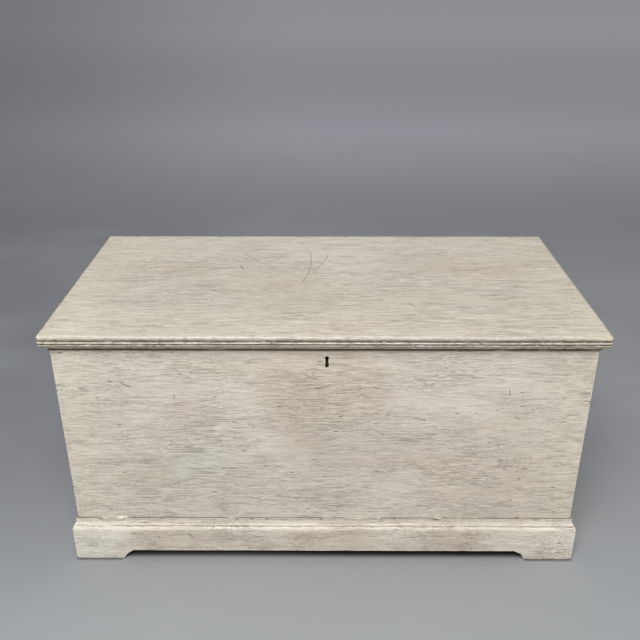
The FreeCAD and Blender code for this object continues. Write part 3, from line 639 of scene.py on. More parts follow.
class Finishes:
    """The materials of the chest, each made once."""

    def __init__(self) -> None:
        """Make the materials."""
        self.paint = both_ways(
            PaintedPine, "painted_pine", scratches=FRONT_SCRATCHES, flaking=FRONT_FLAKING,
            tints=FRONT_TINTS)
        # The lid's paint is darker than the front's, as the steep lamp lights the top more: painted
        # shade.
        self.darkened_lid_paint = both_ways(
            PaintedPine, "dull_painted_pine", ground="#bbb4a5", ridge="#d0c9bc",
            cool="#acada4", green="#b5b097", rose="#b3a091", cream="#c6beaa", scored="#8a7d69",
            bare_edge="#ddd7ca", line_length=90, line_width=1.3, contrast=0.75, craze_cell=8,
            chipped_below=499.5, scratches=LID_SCRATCHES, flaking=LID_FLAKING, tints=LID_TINTS)
        # The cove strips' paint is browner, standing in for the warm shade under the lid's overhang:
        # painted shade.
        self.shade_tinted_cove_paint = both_ways(
            PaintedPine, "browned_painted_pine", ground="#e3c9a2", ridge="#ead6b4",
            cool="#d8c19b", rose="#d6b28d", cream="#e5d0ab", band="#b79a74")
        # The plinth's paint is paler than the front's, as the low plinth gets less of the lamp's
        # light: painted light. It is also scuffed.
        self.scuffed_paint = both_ways(
            PaintedPine, "scuffed_painted_pine", ground="#ede5d6", cream="#f6efde",
            bare_edge="#faf1df", contrast=0.9, scuffed=0.8, rubbed_above=68.0,
            scratches=PLINTH_SCRATCHES + STRIP_SCRATCHES, flaking=PLINTH_FLAKING,
            tints=PLINTH_TINTS)
        self.wood = both_ways(BarePine, "bare_pine")
        self.lid_wood = BarePine("glued_pine_along_x", joints=(-85.5, 85.5)).material()
        self.cut = ShadedGrimyCut("grimy_pine_cut", Brush.ALONG_Y).material()
        self.iron = OldMetal("wrought_iron", ground="#4b4744", rust="#4a2f1d", rust_share=0.55,
                             roughness=0.5).material()
        self.steel = OldMetal("dull_steel", ground="#7d7a75", rust="#55402e", rust_share=0.3,
                              roughness=0.38).material()


# ---- Modelling ----------------------------------------------------------------------------
def put(name: str, data: ID) -> Object:
    """Put a new object into the scene.

    Args:
        name: Its name.
        data: Its mesh, camera or lamp.

    Returns:
        The object.
    """
    item = bpy.data.objects.new(name, data)
    bpy.context.scene.collection.objects.link(item)
    return item


def take_up(piece: Object) -> None:
    """Select one piece alone and make it active.

    Args:
        piece: The piece.
    """
    bpy.ops.object.select_all(action="DESELECT")
    piece.select_set(True)
    bpy.context.view_layer.objects.active = piece


@contextmanager
def editing(piece: Object) -> Iterator[None]:
    """Work on one piece in edit mode.

    Args:
        piece: The piece.

    Yields:
        Nothing.
    """
    take_up(piece)
    bpy.ops.object.mode_set(mode="EDIT")
    yield
    bpy.ops.object.mode_set(mode="OBJECT")


def pick_all() -> None:
    """Select the whole mesh in edit mode."""
    bpy.ops.mesh.select_all(action="SELECT")


def pick(piece: Object, test: Callable[[bmesh.types.BMEdge], bool]) -> None:
    """Select the edges that pass a test, and nothing else.

    Args:
        piece: The piece in edit mode.
        test: Says whether an edge is wanted.
    """
    bpy.ops.mesh.select_mode(type="EDGE")
    bpy.ops.mesh.select_all(action="DESELECT")
    mesh = bmesh.from_edit_mesh(piece.data)
    for edge in mesh.edges:
        if test(edge):
            edge.select_set(True)
    bmesh.update_edit_mesh(piece.data)


def apply_modifier(piece: Object, kind: str, **settings: object) -> None:
    """Add a modifier and apply it.

    Args:
        piece: The piece.
        kind: The modifier's type.
        settings: Its settings.
    """
    take_up(piece)
    modifier = piece.modifiers.new(kind.lower(), kind)
    for name, value in settings.items():
        setattr(modifier, name, value)
    bpy.ops.object.modifier_apply(modifier=modifier.name)


def curve(corners: Sequence[Corner]) -> Profile:
    """Points through corners in mm.

    Args:
        corners: Two numbers for each corner. A third is the rise of the arc that leads to it,
            to the left of the way.

    Returns:
        The points.
    """
    points = [corners[0][:2]]
    for end in corners[1:]:
        start = Vector(points[-1])
        chord = Vector(end[:2]) - start
        if len(end) == 3:
            rise = end[2]
            radius = (chord.length ** 2 / 4 + rise ** 2) / (2 * abs(rise))
            left = Vector((-chord.y, chord.x)).normalized()
            centre = start + chord / 2 + left * (rise - math.copysign(radius, rise))
            turn = -math.copysign(4 * math.atan(2 * abs(rise) / chord.length), rise)
            first = math.atan2(start.y - centre.y, start.x - centre.x)
            for step in range(1, ARC_STEPS):
                angle = first + turn * step / ARC_STEPS
                points.append((centre.x + radius * math.cos(angle),
                               centre.y + radius * math.sin(angle)))
        points.append(end[:2])
    return points


def ring_of(name: str, places: Sequence[Place]) -> Object:
    """Draw a closed line through places in space.

    Args:
        name: The new piece's name.
        places: Where its corners are.

    Returns:
        The piece.
    """
    bpy.ops.object.select_all(action="DESELECT")
    bpy.ops.mesh.primitive_circle_add(vertices=len(places), fill_type="NOTHING")
    piece = bpy.context.object
    piece.name = name
    for vertex, place in zip(piece.data.vertices, places):
        vertex.co = place
    return piece


def push(move: Sequence[float]) -> None:
    """Extrude what is selected."""
    bpy.ops.mesh.extrude_region_move(TRANSFORM_OT_translate={"value": move})


def prism(name: str, places: Sequence[Place], move: Sequence[float]) -> Object:
    """Draw an outline in space and push it out into a solid.

    Args:
        name: The new piece's name.
        places: Where the outline's corners are.
        move: How far it is pushed.

    Returns:
        The piece.
    """
    piece = ring_of(name, places)
    with editing(piece):
        pick_all()
        bpy.ops.mesh.edge_face_add()
        push(move)
    return piece


def cut_lengths(piece: Object, axis: int, step: float) -> None:
    """Divide the long edges that run along an axis.

    Args:
        piece: The piece in edit mode.
        axis: 0 for X, 1 for Y.
        step: The longest that a part of them may be.
    """
    def runs(edge: bmesh.types.BMEdge) -> bool:
        """Whether an edge is long and runs along the axis."""
        way = edge.verts[1].co - edge.verts[0].co
        return way.length > 4 * step and abs(way[axis]) > 0.999 * way.length

    mesh = bmesh.from_edit_mesh(piece.data)
    longest = max(edge.calc_length() for edge in mesh.edges if runs(edge))
    pick(piece, runs)
    bpy.ops.mesh.subdivide(number_cuts=math.ceil(longest / step) - 1)


def slice_at(axis: int, places: Sequence[float]) -> None:
    """Cut edges into all faces where planes across an axis pass, in edit mode.

    Args:
        axis: 0, 1 or 2.
        places: Where the planes are along it.
    """
    normal = [0.0, 0.0, 0.0]
    normal[axis] = 1.0
    for place in places:
        pick_all()
        bpy.ops.mesh.bisect(plane_co=[place * part for part in normal], plane_no=normal)


def saw_off(place: Sequence[float], away: Sequence[float]) -> None:
    """Saw off what lies past a plane, to the side that away points to, and close the cut."""
    pick_all()
    bpy.ops.mesh.bisect(plane_co=place, plane_no=away, use_fill=True, clear_outer=True)


def mitre(corner: Vector, side: str) -> None:
    """Saw the mitres of a run round the box, in edit mode.

    Args:
        corner: The box's right front corner.
        side: front, left or right, where the run is.
    """
    way = 1 if side == "front" else -1
    for sign in ENDS[side]:
        saw_off((sign * corner.x, corner.y, 0), (way * sign, way, 0))


def run_of(side: str) -> Brush:
    """The way a run round the box goes."""
    return Brush.ALONG_X if side == "front" else Brush.ALONG_Y


def merge() -> None:
    """Select the whole mesh and merge its doubled corners, in edit mode."""
    pick_all()
    bpy.ops.mesh.remove_doubles(threshold=MERGE)


def clean_up() -> None:
    """Merge doubled corners and turn all faces outwards, in edit mode."""
    merge()
    bpy.ops.mesh.normals_make_consistent(inside=False)


def spaced(low: float, high: float, step: float) -> list[float]:
    """Even places strictly between two values, at most a step apart."""
    count = math.ceil((high - low) / step)
    return [low + (high - low) * index / count for index in range(1, count)]


def off_box(place: Vector, corner: Vector) -> float:
    """How far a place in front of or beside the box stands off it, in mm."""
    return max(abs(place.x) - corner.x, corner.y - place.y) / MM


def note_edges(piece: Object, where: Callable[[Vector], bool] = lambda place: True,
               dirt_and_shade: Callable[[Vector], float] = lambda place: 0.0) -> None:
    """Write how sharp the outward and inward edges are at each corner of the mesh, and where dirt and
    painted shade lie.

    Args:
        piece: The piece.
        where: Says whether a place counts, for a piece whose broad faces stay uncut.
        dirt_and_shade: Gives how much dirt and painted shade lie at a place that is not in a hollow.
    """
    mesh = bmesh.new()
    mesh.from_mesh(piece.data)
    sharp = [0.0] * len(mesh.verts)
    sunk = [0.0] * len(mesh.verts)
    for edge in mesh.edges:
        bend = edge.calc_face_angle_signed(0.0) / FULL_BEND
        for vertex in filter(lambda corner: where(corner.co), edge.verts):
            sharp[vertex.index] = max(sharp[vertex.index], min(1.0, bend))
            sunk[vertex.index] = max(sunk[vertex.index], min(1.0, -HOLLOW_GAIN * bend))
    for vertex in mesh.verts:
        sunk[vertex.index] = max(sunk[vertex.index], dirt_and_shade(vertex.co))
    mesh.free()
    for name, values in ((ARRIS, sharp), (HOLLOW, sunk)):
        attribute = piece.data.attributes.new(name, "FLOAT", "POINT")
        attribute.data.foreach_set("value", values)


def wear_down(piece: Object, depth: float, size: float, share: Callable[[Vector], float]) -> None:
    """Wear a piece unevenly, always inwards.

    Args:
        piece: The piece.
        depth: The deepest wear, in mm.
        size: Size of a worn spot, in mm.
        share: Gives how much of the wear a place gets, 0 to 1.
    """
    group = piece.vertex_groups.new(name="worn")
    for vertex in piece.data.vertices:
        weight = share(vertex.co)
        if weight > 0:
            group.add([vertex.index], weight, "REPLACE")
    texture = bpy.data.textures.new(f"wear_{piece.name}", "CLOUDS")
    texture.noise_scale = size * MM
    texture.noise_depth = 3
    apply_modifier(piece, "DISPLACE", texture=texture, texture_coords="LOCAL", mid_level=1.0,
                   strength=depth * MM, vertex_group=group.name)
    piece.vertex_groups.clear()


def dress(piece: Object, finishes: Sequence[Material],
          choose: Callable[[Vector, Vector], int]) -> None:
    """Give each face its finish.

    Args:
        piece: The piece.
        finishes: The materials it uses.
        choose: Takes a face's middle and its normal, and gives the number of its finish.
    """
    piece.data.materials.clear()
    for finish in finishes:
        piece.data.materials.append(finish)
    for face in piece.data.polygons:
        face.material_index = choose(face.center, face.normal)


def hand_over(piece: Object, body: str, slot: str, *nodes: str) -> None:
    """Smooth a finished piece and put it on its body, in place of its nodes.

    Args:
        piece: The finished piece.
        body: The body it moves with.
        slot: Its slot in the record. Not used.
        nodes: The nodes that it stands for.
    """
    take_up(piece)
    bpy.ops.object.shade_smooth_by_angle(angle=SMOOTH_BELOW)
    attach(piece, body)
    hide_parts(*nodes)
    log.info("%s: %d faces", piece.name, len(piece.data.polygons))


def saw_out(piece: Object, low: Sequence[float], high: Sequence[float]) -> None:
    """Cut a square recess into a piece.

    Args:
        piece: The piece.
        low: The recess's lowest corner.
        high: Its highest corner.
    """
    bpy.ops.object.select_all(action="DESELECT")
    bpy.ops.mesh.primitive_cube_add(size=1, location=(Vector(low) + Vector(high)) / 2)
    cutter = bpy.context.object
    cutter.scale = Vector(high) - Vector(low)
    bpy.ops.object.transform_apply(location=True, rotation=False, scale=True)
    apply_modifier(piece, "BOOLEAN", object=cutter, operation="DIFFERENCE", solver="EXACT")
    bpy.data.objects.remove(cutter)


def soften(node: str, finish: Material, width: float) -> None:
    """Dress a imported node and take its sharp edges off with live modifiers.

    Args:
        node: The node's name.
        finish: Its material.
        width: Width of the rounding, in mm.
    """
    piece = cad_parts[node]
    for place in piece.material_slots:
        place.material = finish
    weld = piece.modifiers.new("weld", "WELD")
    weld.merge_threshold = MERGE
    bevel = piece.modifiers.new("bevel", "BEVEL")
    bevel.width = width * MM
    bevel.segments = 2
    bevel.limit_method = "ANGLE"
    bevel.angle_limit = BEVEL_ABOVE
    log.info("%s: dressed", node)


# ---- Moulding strips ----------------------------------------------------------------------
@dataclass
class Strips:
    """One moulding along the front and both sides, mitred at the front corners."""

    paint: dict[Brush, Material]
    profile: Profile                        # mm, distance outwards from the box and height
    corner: Vector                          # the box's right front corner
    back: float
    body: str
    name: str
    wear: float                             # mm, deepest dent
    dent: float = 8.0                       # mm, size of one
    planted: float = 1.5                    # mm off the box up to which nothing wears
    clean_edge: float = 0.2                 # mm, what stays free of dirt and painted shade on top
    dirt_and_shade_top: float = 0.0                  # height below which dirt and painted shade lie
    reach: float = 28.0                     # mm, how far the run goes past a corner
    step: float = 3.0                       # mm

    def build(self) -> None:
        """Make the front strip from mitre to mitre, and the side strips from mitre to back."""
        left = -self.corner.x - self.reach * MM
        start = self.corner.y - self.reach * MM
        for side, signs in ENDS.items():
            if side == "front":
                places = [(left, self.corner.y - out * MM, z * MM) for out, z in self.profile]
                move = (-2 * left, 0, 0)
            else:
                places = [(signs[0] * (self.corner.x + out * MM), start, z * MM)
                          for out, z in self.profile]
                move = (0, self.back - start, 0)
            piece = prism(f"{self.name}_{side}_worn", places, move)
            with editing(piece):
                cut_lengths(piece, run_of(side).value, self.step * MM)
                mitre(self.corner, side)
                clean_up()
            note_edges(piece, dirt_and_shade=self.dirt_and_shade)
            wear_down(piece, self.wear, self.dent, self.outer_share)
            dress(piece, [self.paint[run_of(side)]], lambda middle, normal: 0)
            hand_over(piece, self.body, "painted_pine", f"{self.name}_{side}")

    def dirt_and_shade(self, place: Vector) -> float:
        """Dirt and painted shade low on the strip, and on top up to its outer edge.

        Args:
            place: A place on the strip.

        Returns:
            1 for dirt and painted shade, 0 for none.
        """
        high = max(height for _, height in self.profile)
        edge = max(out for out, height in self.profile if height == high)
        inside = off_box(place, self.corner) < edge - self.clean_edge
        on_top = inside and place.z > high * MM - 2 * NEAR
        return float(place.z < self.dirt_and_shade_top or on_top)

    def outer_share(self, place: Vector) -> float:
        """Wear on what stands off the box, and none where the strip is planted on it."""
        out = (off_box(place, self.corner) - self.planted) / self.planted
        return max(0.0, min(1.0, out)) * max(0.0, min(1.0, (self.back - place.y) / (3 * MM)))


# ---- Lid ----------------------------------------------------------------------------------
@dataclass
class Lid:
    """Three glued boards with a moulded edge, and the cove strips under the overhang."""

    finishes: Finishes
    corner_radius: float = 7.0      # mm, as all that follow
    roll_radius: float = 5.0
    roll_height: float = 9.6
    roll_return: float = 0.5
    quirk_depth: float = 2.0
    upper_quirk: float = 1.6
    bead: float = 4.6
    lower_quirk: float = 1.4
    small_bead: float = 2.6
    small_bead_swell: float = 1.1
    undercut: float = 3.0
    undercut_swell: float = 0.7
    cove_height: float = 10.0
    cove_play: float = 0.9
    cove_outer: float = 10.9
    cove_fillet: float = 1.2
    cove_step: float = 0.6
    cove_lip: float = 2.8
    cove_lip_height: float = 1.6
    cove_dirt_and_shade: float = 2.2         # how far dirt and painted shade reach above the lip
    leaf_thickness: float = 2.2
    link_plate_thickness: float = 2.0
    fit: float = 0.3
    barrel_room: float = 4.9
    wear: float = 1.2               # deepest dent
    dent: float = 9.0               # size of one
    step: float = 3.0               # spacing of the cuts that let an edge wear

    def __post_init__(self) -> None:
        """Read the lid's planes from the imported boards."""
        self.low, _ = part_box("lid_board_front")
        _, self.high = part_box("lid_board_back")
        self.body_low, self.body_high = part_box("front_board")

    def edge_profile(self) -> Profile:
        """The moulded edge in mm.

        Returns:
            Distance outwards from the lid's edge, and height.
        """
        under, top = self.low.z / MM, self.high.z / MM
        roll_low = top - self.roll_height
        bead_top = roll_low - self.upper_quirk
        bead_low = bead_top - self.bead
        small_top = bead_low - self.lower_quirk
        small_low = small_top - self.small_bead
        quarter = (math.sqrt(2) - 1) / 2 * math.sqrt(2) * self.roll_radius
        quirk = -self.quirk_depth
        return curve((
            (-self.corner_radius, under), (quirk - self.undercut, under),
            (quirk, small_low, -self.undercut_swell), (quirk, small_top, -self.small_bead_swell),
            (quirk, bead_low), (quirk, bead_top, quirk), (quirk, roll_low),
            (0, top - self.roll_radius, -self.roll_return), (-self.roll_radius, top, -quarter),
            (-self.corner_radius, top)))

    def whole(self) -> Object:
        """Run the moulded edge round three sides, and fill the panel in.

        Returns:
            The lid in one piece.
        """
        inner = self.high.x - self.corner_radius * MM
        turn = self.low.y + self.corner_radius * MM
        side, near = turn - self.high.y, 2 * NEAR
        places = [(self.low.x - out * MM, self.high.y, z * MM) for out, z in self.edge_profile()]
        lid = ring_of("lid_whole", places)
        last = len(places) - 1
        sweep = partial(bpy.ops.mesh.spin, steps=CORNER_STEPS, angle=-math.pi / 2, axis=(0, 0, 1))
        with editing(lid):
            pick(lid, lambda edge: {v.index for v in edge.verts} == {0, last})
            bpy.ops.mesh.delete(type="EDGE")
            pick_all()
            push((0, side, 0))
            sweep(center=(-inner, turn, 0))
            push((2 * inner, 0, 0))
            sweep(center=(inner, turn, 0))
            push((0, -side, 0))
            cut_lengths(lid, 0, self.step * MM)
            cut_lengths(lid, 1, self.step * MM)
            merge()
            for z in (self.low.z, self.high.z):
                pick(lid, lambda edge: edge.is_boundary and all(
                    abs(v.co.z - z) < near and abs(v.co.x) < inner + near
                    and v.co.y > turn - near for v in edge.verts))
                bpy.ops.mesh.edge_face_add()
            pick(lid, lambda edge: edge.is_boundary)
            bpy.ops.mesh.edge_face_add()
            clean_up()
        return lid

    def edge_share(self, place: Vector) -> float:
        """How much wear a place on the lid gets: all at the edge and none on the flat."""
        inside = min(self.high.x - abs(place.x), place.y - self.low.y) / MM
        return max(0.0, min(1.0, (self.corner_radius - inside - 0.5) / 3))

    def board(self, whole: Object, name: str) -> Object:
        """Saw one board out of the whole lid.

        Args:
            whole: The whole lid.
            name: The board's node.

        Returns:
            The board.
        """
        low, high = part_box(name)
        piece = put(f"{name}_worn", whole.data.copy())
        with editing(piece):
            if low.y > self.low.y + PAST:
                saw_off((0, low.y, 0), (0, -1, 0))
            if high.y < self.high.y - PAST:
                saw_off((0, high.y, 0), (0, 1, 0))
        return piece

    def choose(self, middle: Vector, normal: Vector) -> int:
        """Paint outside, along or across, and bare wood underneath.

        Args:
            middle: A face's middle.
            normal: Its normal.

        Returns:
            The number of its finish.
        """
        if normal.z < -0.9 and middle.z < self.low.z + PAST:
            return 2
        return 1 if abs(normal.x) > 0.6 else 0

    def build(self) -> None:
        """Make the boards and the cove strips."""
        whole = self.whole()
        wear_down(whole, self.wear, self.dent, self.edge_share)
        note_edges(whole)
        finishes = [*self.finishes.darkened_lid_paint.values(), self.finishes.lid_wood]
        recesses = {"lid_board_back": self.cut_hinge_gains, "lid_board_front": self.cut_link_recess}
        for name in ("lid_board_front", "lid_board_middle", "lid_board_back"):
            piece = self.board(whole, name)
            if name in recesses:
                recesses[name](piece)
            dress(piece, finishes, self.choose)
            hand_over(piece, "lid", "painted_pine", name)
        bpy.data.objects.remove(whole)
        # The cove strips are darker low down: dirt and painted shade under the overhang.
        Strips(self.finishes.shade_tinted_cove_paint, self.cove_profile(),
               Vector((self.body_high.x, self.body_low.y, 0)), self.high.y, "lid", "lid_moulding",
               0.5, dirt_and_shade_top=self.low.z
               + (self.cove_lip_height + self.cove_dirt_and_shade - self.cove_height) * MM).build()

    def cut_hinge_gains(self, piece: Object) -> None:
        """Let both hinge leaves and their barrels into the back of the lid.

        Args:
            piece: The back board.
        """
        fit, room = self.fit * MM, self.barrel_room * MM
        for side in ("left", "right"):
            low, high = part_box(f"hinge_lid_leaf_{side}")
            pin_low, pin_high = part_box(f"hinge_pin_{side}")
            pin = (pin_low + pin_high) / 2
            saw_out(piece, (low.x - fit, low.y - fit, self.low.z - PAST),
                    (high.x + fit, self.high.y + PAST, self.low.z + self.leaf_thickness * MM))
            saw_out(piece, (low.x - fit, pin.y - room, self.low.z - PAST),
                    (high.x + fit, self.high.y + PAST, pin.z + room))

    def cut_link_recess(self, piece: Object) -> None:
        """Let the link plate into the underside.

        Args:
            piece: The front board.
        """
        fit = self.fit * MM
        low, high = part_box("link_plate")
        saw_out(piece, (low.x - fit, low.y - fit, self.low.z - PAST),
                (high.x + fit, high.y + fit, self.low.z + self.link_plate_thickness * MM))

    def cove_profile(self) -> Profile:
        """The cove strip in mm.

        Returns:
            Distance outwards from the box, and height.
        """
        high = self.low.z / MM
        low = high - self.cove_height
        top = (self.cove_outer - self.cove_step, high - self.cove_fillet)
        foot = (self.cove_lip - self.cove_step, low + self.cove_lip_height)
        chord = math.hypot(top[0] - foot[0], top[1] - foot[1])
        return curve((
            (self.cove_play, low), (self.cove_lip, low),
            (self.cove_lip, low + self.cove_lip_height), foot,
            (*top, (math.sqrt(2) - 1) / 2 * chord), (self.cove_outer, high - self.cove_fillet),
            (self.cove_outer, high), (self.cove_play, high)))


# ---- Case ---------------------------------------------------------------------------------
@dataclass
class Case:
    """The dovetailed box and its bottom boards."""

    finishes: Finishes
    arris: float = 1.1              # mm, rounding of the outer corners
    margin: float = 2.0             # mm, width of the rubbed margin along an outer corner
    paint_reach: float = 0.6        # mm, how far the paint goes in past an arris
    keyhole_reach: float = 30.0     # mm, how far below the key pin the cut may reach
    keyhole_side: float = 6.0       # mm, and to either side
    board: float = 24.0             # mm, a little more than a side board's thickness

    def __post_init__(self) -> None:
        """Read the box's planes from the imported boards."""
        self.low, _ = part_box("front_board")
        _, self.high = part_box("back_board")
        lock_low, lock_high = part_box("lock_key_pin")
        self.key = (lock_low + lock_high) / 2

    def choose(self, middle: Vector, normal: Vector) -> int:
        """Paint outside, bare wood inside and on the edges, grime and painted shade in the keyhole.

        Args:
            middle: A face's middle.
            normal: Its normal.

        Returns:
            The number of its finish.
        """
        near = self.paint_reach * MM + self.arris * MM
        if (abs(normal.y) < 0.1 and abs(middle.x - self.key.x) < self.keyhole_side * MM
                and middle.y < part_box("lock_cap")[0].y
                and middle.z > self.key.z - self.keyhole_reach * MM):
            return 4
        if ((middle.y < self.low.y + near and normal.y < -0.3)
                or (middle.y > self.high.y - near and normal.y > 0.3)):
            return 0
        if abs(middle.x) > self.high.x - near and abs(normal.x) > 0.3:
            return 1
        return 3 if abs(middle.x) > self.high.x - self.board * MM and abs(normal.x) > 0.7 else 2

    def build(self) -> None:
        """Make the four box boards and dress the bottom boards."""
        finishes = [*self.finishes.paint.values(), *self.finishes.wood.values(),
                    self.finishes.cut]
        for name in ("front_board", "back_board", "side_board_left", "side_board_right"):
            piece = put(f"{name}_worn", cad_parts[name].data.copy())
            self.round_corners(piece)
            note_edges(piece, self.is_corner)
            dress(piece, finishes, self.choose)
            hand_over(piece, "case", "painted_pine", name)
        for name in ("bottom_board_front", "bottom_board_middle", "bottom_board_back"):
            soften(name, self.finishes.wood[Brush.ALONG_X], 0.6)

    def is_corner(self, place: Vector) -> bool:
        """Whether a place lies on a rounded outer corner.

        Args:
            place: A place on a board.

        Returns:
            Whether it does.
        """
        reach = (self.arris + 0.1) * MM
        away = self.high.x - abs(place.x), min(place.y - self.low.y, self.high.y - place.y)
        return max(away) < reach

    def round_corners(self, piece: Object) -> None:
        """Make a board one skin, round its outer corners, and mark a margin beside them.

        Args:
            piece: The board's copy.
        """
        with editing(piece):
            merge()
            bpy.ops.mesh.dissolve_limited(angle_limit=FLAT_BELOW)
            pick(piece, lambda edge: all(
                abs(abs(v.co.x) - self.high.x) < NEAR
                and min(abs(v.co.y - self.low.y), abs(v.co.y - self.high.y)) < NEAR
                for v in edge.verts))
            bpy.ops.mesh.bevel(offset=self.arris * MM, segments=4, affect="EDGES")
            edge = (self.arris + self.margin) * MM
            for axis in range(3):
                slice_at(axis, (self.low[axis] + edge, self.high[axis] - edge))


# ---- Plinth -------------------------------------------------------------------------------
@dataclass
class Plinth:
    """The plinth boards with their bracket feet, the strips on them and the blocks inside."""

    finishes: Finishes
    thickness: float = 11.5         # mm, as all that follow
    arris_height: float = 7.0
    arris_depth: float = 2.5
    foot_length: float = 94.0
    arch_height: float = 22.0
    bracket_spread: float = 22.0
    bracket_rise: float = 3.2
    strip_height: float = 16.6
    strip_foot: float = 9.0
    strip_foot_height: float = 1.4
    strip_hollow: float = 1.4       # depth of the long hollow
    strip_quirk: float = 1.2
    strip_quirk_depth: float = 1.4
    strip_top: float = 3.6
    strip_top_height: float = 2.2
    strip_step: float = 0.7
    clean_edge: float = 0.5         # what stays free of dirt and painted shade on top of a strip
    worn_toe: float = 9.0           # rounding of a foot's lower outer corner
    worn_reach: float = 9.0         # how far the heavier wear goes from an edge
    least_wear: float = 0.25        # share of the wear elsewhere on the face
    grime_and_shade: float = 1.5              # how high dirt and a painted contact shade reach up from the floor
    wear: float = 1.3               # deepest dent
    dent: float = 14.0              # size of one
    step: float = 3.5

    def __post_init__(self) -> None:
        """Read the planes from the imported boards."""
        self.box_low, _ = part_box("front_board")
        _, self.box_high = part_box("back_board")
        self.low, self.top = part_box("plinth_front")
        _, self.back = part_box("plinth_back")
        self.corner = Vector((self.box_high.x, self.box_low.y, 0))
        self.outer = self.box_high.x + self.thickness * MM

    def outline(self, first: float, last: float) -> Profile:
        """A board's face with the arch between its feet.

        Args:
            first: One outer corner.
            last: The other outer corner.

        Returns:
            The points, in mm.
        """
        first, last, height = first / MM, last / MM, self.top.z / MM
        left, right = first + self.foot_length, last - self.foot_length
        return curve((
            (first, height), (first, 0), (left, 0),
            (left + self.bracket_spread, self.arch_height, self.bracket_rise),
            (right - self.bracket_spread, self.arch_height),
            (right, 0, self.bracket_rise),
            (last, 0), (last, height)))

    def build(self) -> None:
        """Make the boards and strips, and dress the rest."""
        for side, signs in ENDS.items():
            self.board(side, signs[-1])
        soften("plinth_back", self.finishes.paint[Brush.ALONG_X], 0.8)
        soften("foot_blocks", self.finishes.wood[Brush.ALONG_X], 0.8)
        Strips(self.finishes.scuffed_paint, self.strip_profile(), self.corner, self.box_high.y,
               "case", "plinth_moulding", 0.6).build()

    def board(self, side: str, sign: int) -> None:
        """Make one board, mitred at the front corners.

        Args:
            side: front, left or right.
            sign: -1 for the left, 1 for the right.
        """
        brush = run_of(side)
        first = self.low[brush.value]
        if side == "front":
            last, move = self.top.x, (0, self.thickness * MM, 0)
            places = [(x * MM, self.low.y, z * MM) for x, z in self.outline(first, last)]
        else:
            last, move = self.back.y, (-sign * self.thickness * MM, 0, 0)
            places = [(sign * self.outer, y * MM, z * MM) for y, z in self.outline(first, last)]
        piece = prism(f"plinth_{side}_worn", places, move)
        foot = self.top.z - self.arris_height * MM
        with editing(piece):
            mitre(self.corner, side)
            clean_up()
            slice_at(brush.value, spaced(first, last, self.step * MM))
            slice_at(2, [*spaced(0, foot, self.step * MM), foot,
                         *spaced(foot, self.top.z, self.step * MM / 3)])
        self.round_top(piece)
        self.rub_toes(piece)
        note_edges(piece, dirt_and_shade=lambda place: float(place.z < self.grime_and_shade * MM))
        wear_down(piece, self.wear, self.dent, self.edge_share)
        dress(piece, [self.finishes.scuffed_paint[brush], self.finishes.wood[brush]],
              lambda middle, normal: int(self.is_hidden(middle)))
        hand_over(piece, "case", "painted_pine", f"plinth_{side}")

    def round_top(self, piece: Object) -> None:
        """Round the upper outer arris.

        Args:
            piece: The board.
        """
        height = self.arris_height * MM
        for vertex in piece.data.vertices:
            place = vertex.co
            above = max(0.0, place.z - self.top.z + height) / height
            inwards = self.arris_depth * MM * above ** 2
            if abs(place.y - self.low.y) < NEAR:
                place.y += inwards
            if abs(abs(place.x) - self.outer) < NEAR:
                place.x -= math.copysign(inwards, place.x)

    def rub_toes(self, piece: Object) -> None:
        """Round the feet's lower outer corners, where brooms and shoes have rubbed them.

        Args:
            piece: The board.
        """
        toe = self.worn_toe * MM
        for vertex in piece.data.vertices:
            place = vertex.co
            side, rise = toe - (self.outer - abs(place.x)), toe - place.z
            over = math.hypot(side, rise)
            if min(side, rise) > 0 and over > toe and place.y < self.box_low.y + PAST:
                place.x -= math.copysign(side * (1 - toe / over), place.x)
                place.z += rise * (1 - toe / over)

    def edge_share(self, place: Vector) -> float:
        """Most wear at the floor, the top and the corners, a little elsewhere, none inside.

        Args:
            place: A place on the board.

        Returns:
            The share, 0 to 1.
        """
        if off_box(place, self.corner) < self.thickness - self.arris_depth - 0.5:
            return 0.0
        away = (max(self.outer - abs(place.x), place.y - self.low.y), place.z,
                self.top.z - place.z)
        edge = max(0.0, *(1 - far / (self.worn_reach * MM) for far in away))
        return min(1.0, self.least_wear + (1 - self.least_wear) * edge)

    def is_hidden(self, middle: Vector) -> bool:
        """Whether a face lies against the box or under the board."""
        return abs(middle.x) < self.box_high.x + 2 * NEAR and middle.y > self.box_low.y - 2 * NEAR

    def strip_profile(self) -> Profile:
        """The strip in mm: lower fillet, long hollow, quirk and top fillet.

        Returns:
            Distance outwards from the box, and height.
        """
        low = self.top.z / MM
        hollow_low = low + self.strip_foot_height
        high = low + self.strip_height
        fillet_low = high - self.strip_top_height
        hollow_high = fillet_low - self.strip_quirk
        floor = self.strip_top - self.strip_quirk_depth
        return curve((
            (0, low), (self.strip_foot, low), (self.strip_foot, hollow_low),
            (self.strip_foot - self.strip_step, hollow_low),
            (floor + self.strip_step, hollow_high, self.strip_hollow), (floor, hollow_high),
            (floor, fillet_low), (self.strip_top, fillet_low), (self.strip_top, high),
            (self.strip_top - self.clean_edge, high), (0, high)))


# ---- Ironwork -----------------------------------------------------------------------------
@dataclass
class Ironwork:
    """The lock, the link plate, the hinges and the nails, with dull old metal on them."""

    finishes: Finishes

    def build(self) -> None:
        """Dress every piece of metal, the heavier ones with rounder edges."""
        iron, steel = self.finishes.iron, self.finishes.steel
        for finish, width, names in (
                (iron, 0.35, "lock_plate lock_cap lock_stumps link_plate link_staple_left "
                             "link_staple_right hinge_body_leaf_left hinge_body_leaf_right "
                             "hinge_lid_leaf_left hinge_lid_leaf_right"),
                (iron, 0.15, "bottom_nails lock_ward lock_key_pin"),
                (steel, 0.3, "lock_bolt hinge_pin_left hinge_pin_right"),
                (steel, 0.12, "lock_spring lock_screws link_screws hinge_body_screws "
                              "hinge_lid_screws")):
            for name in names.split():
                soften(name, finish, width)


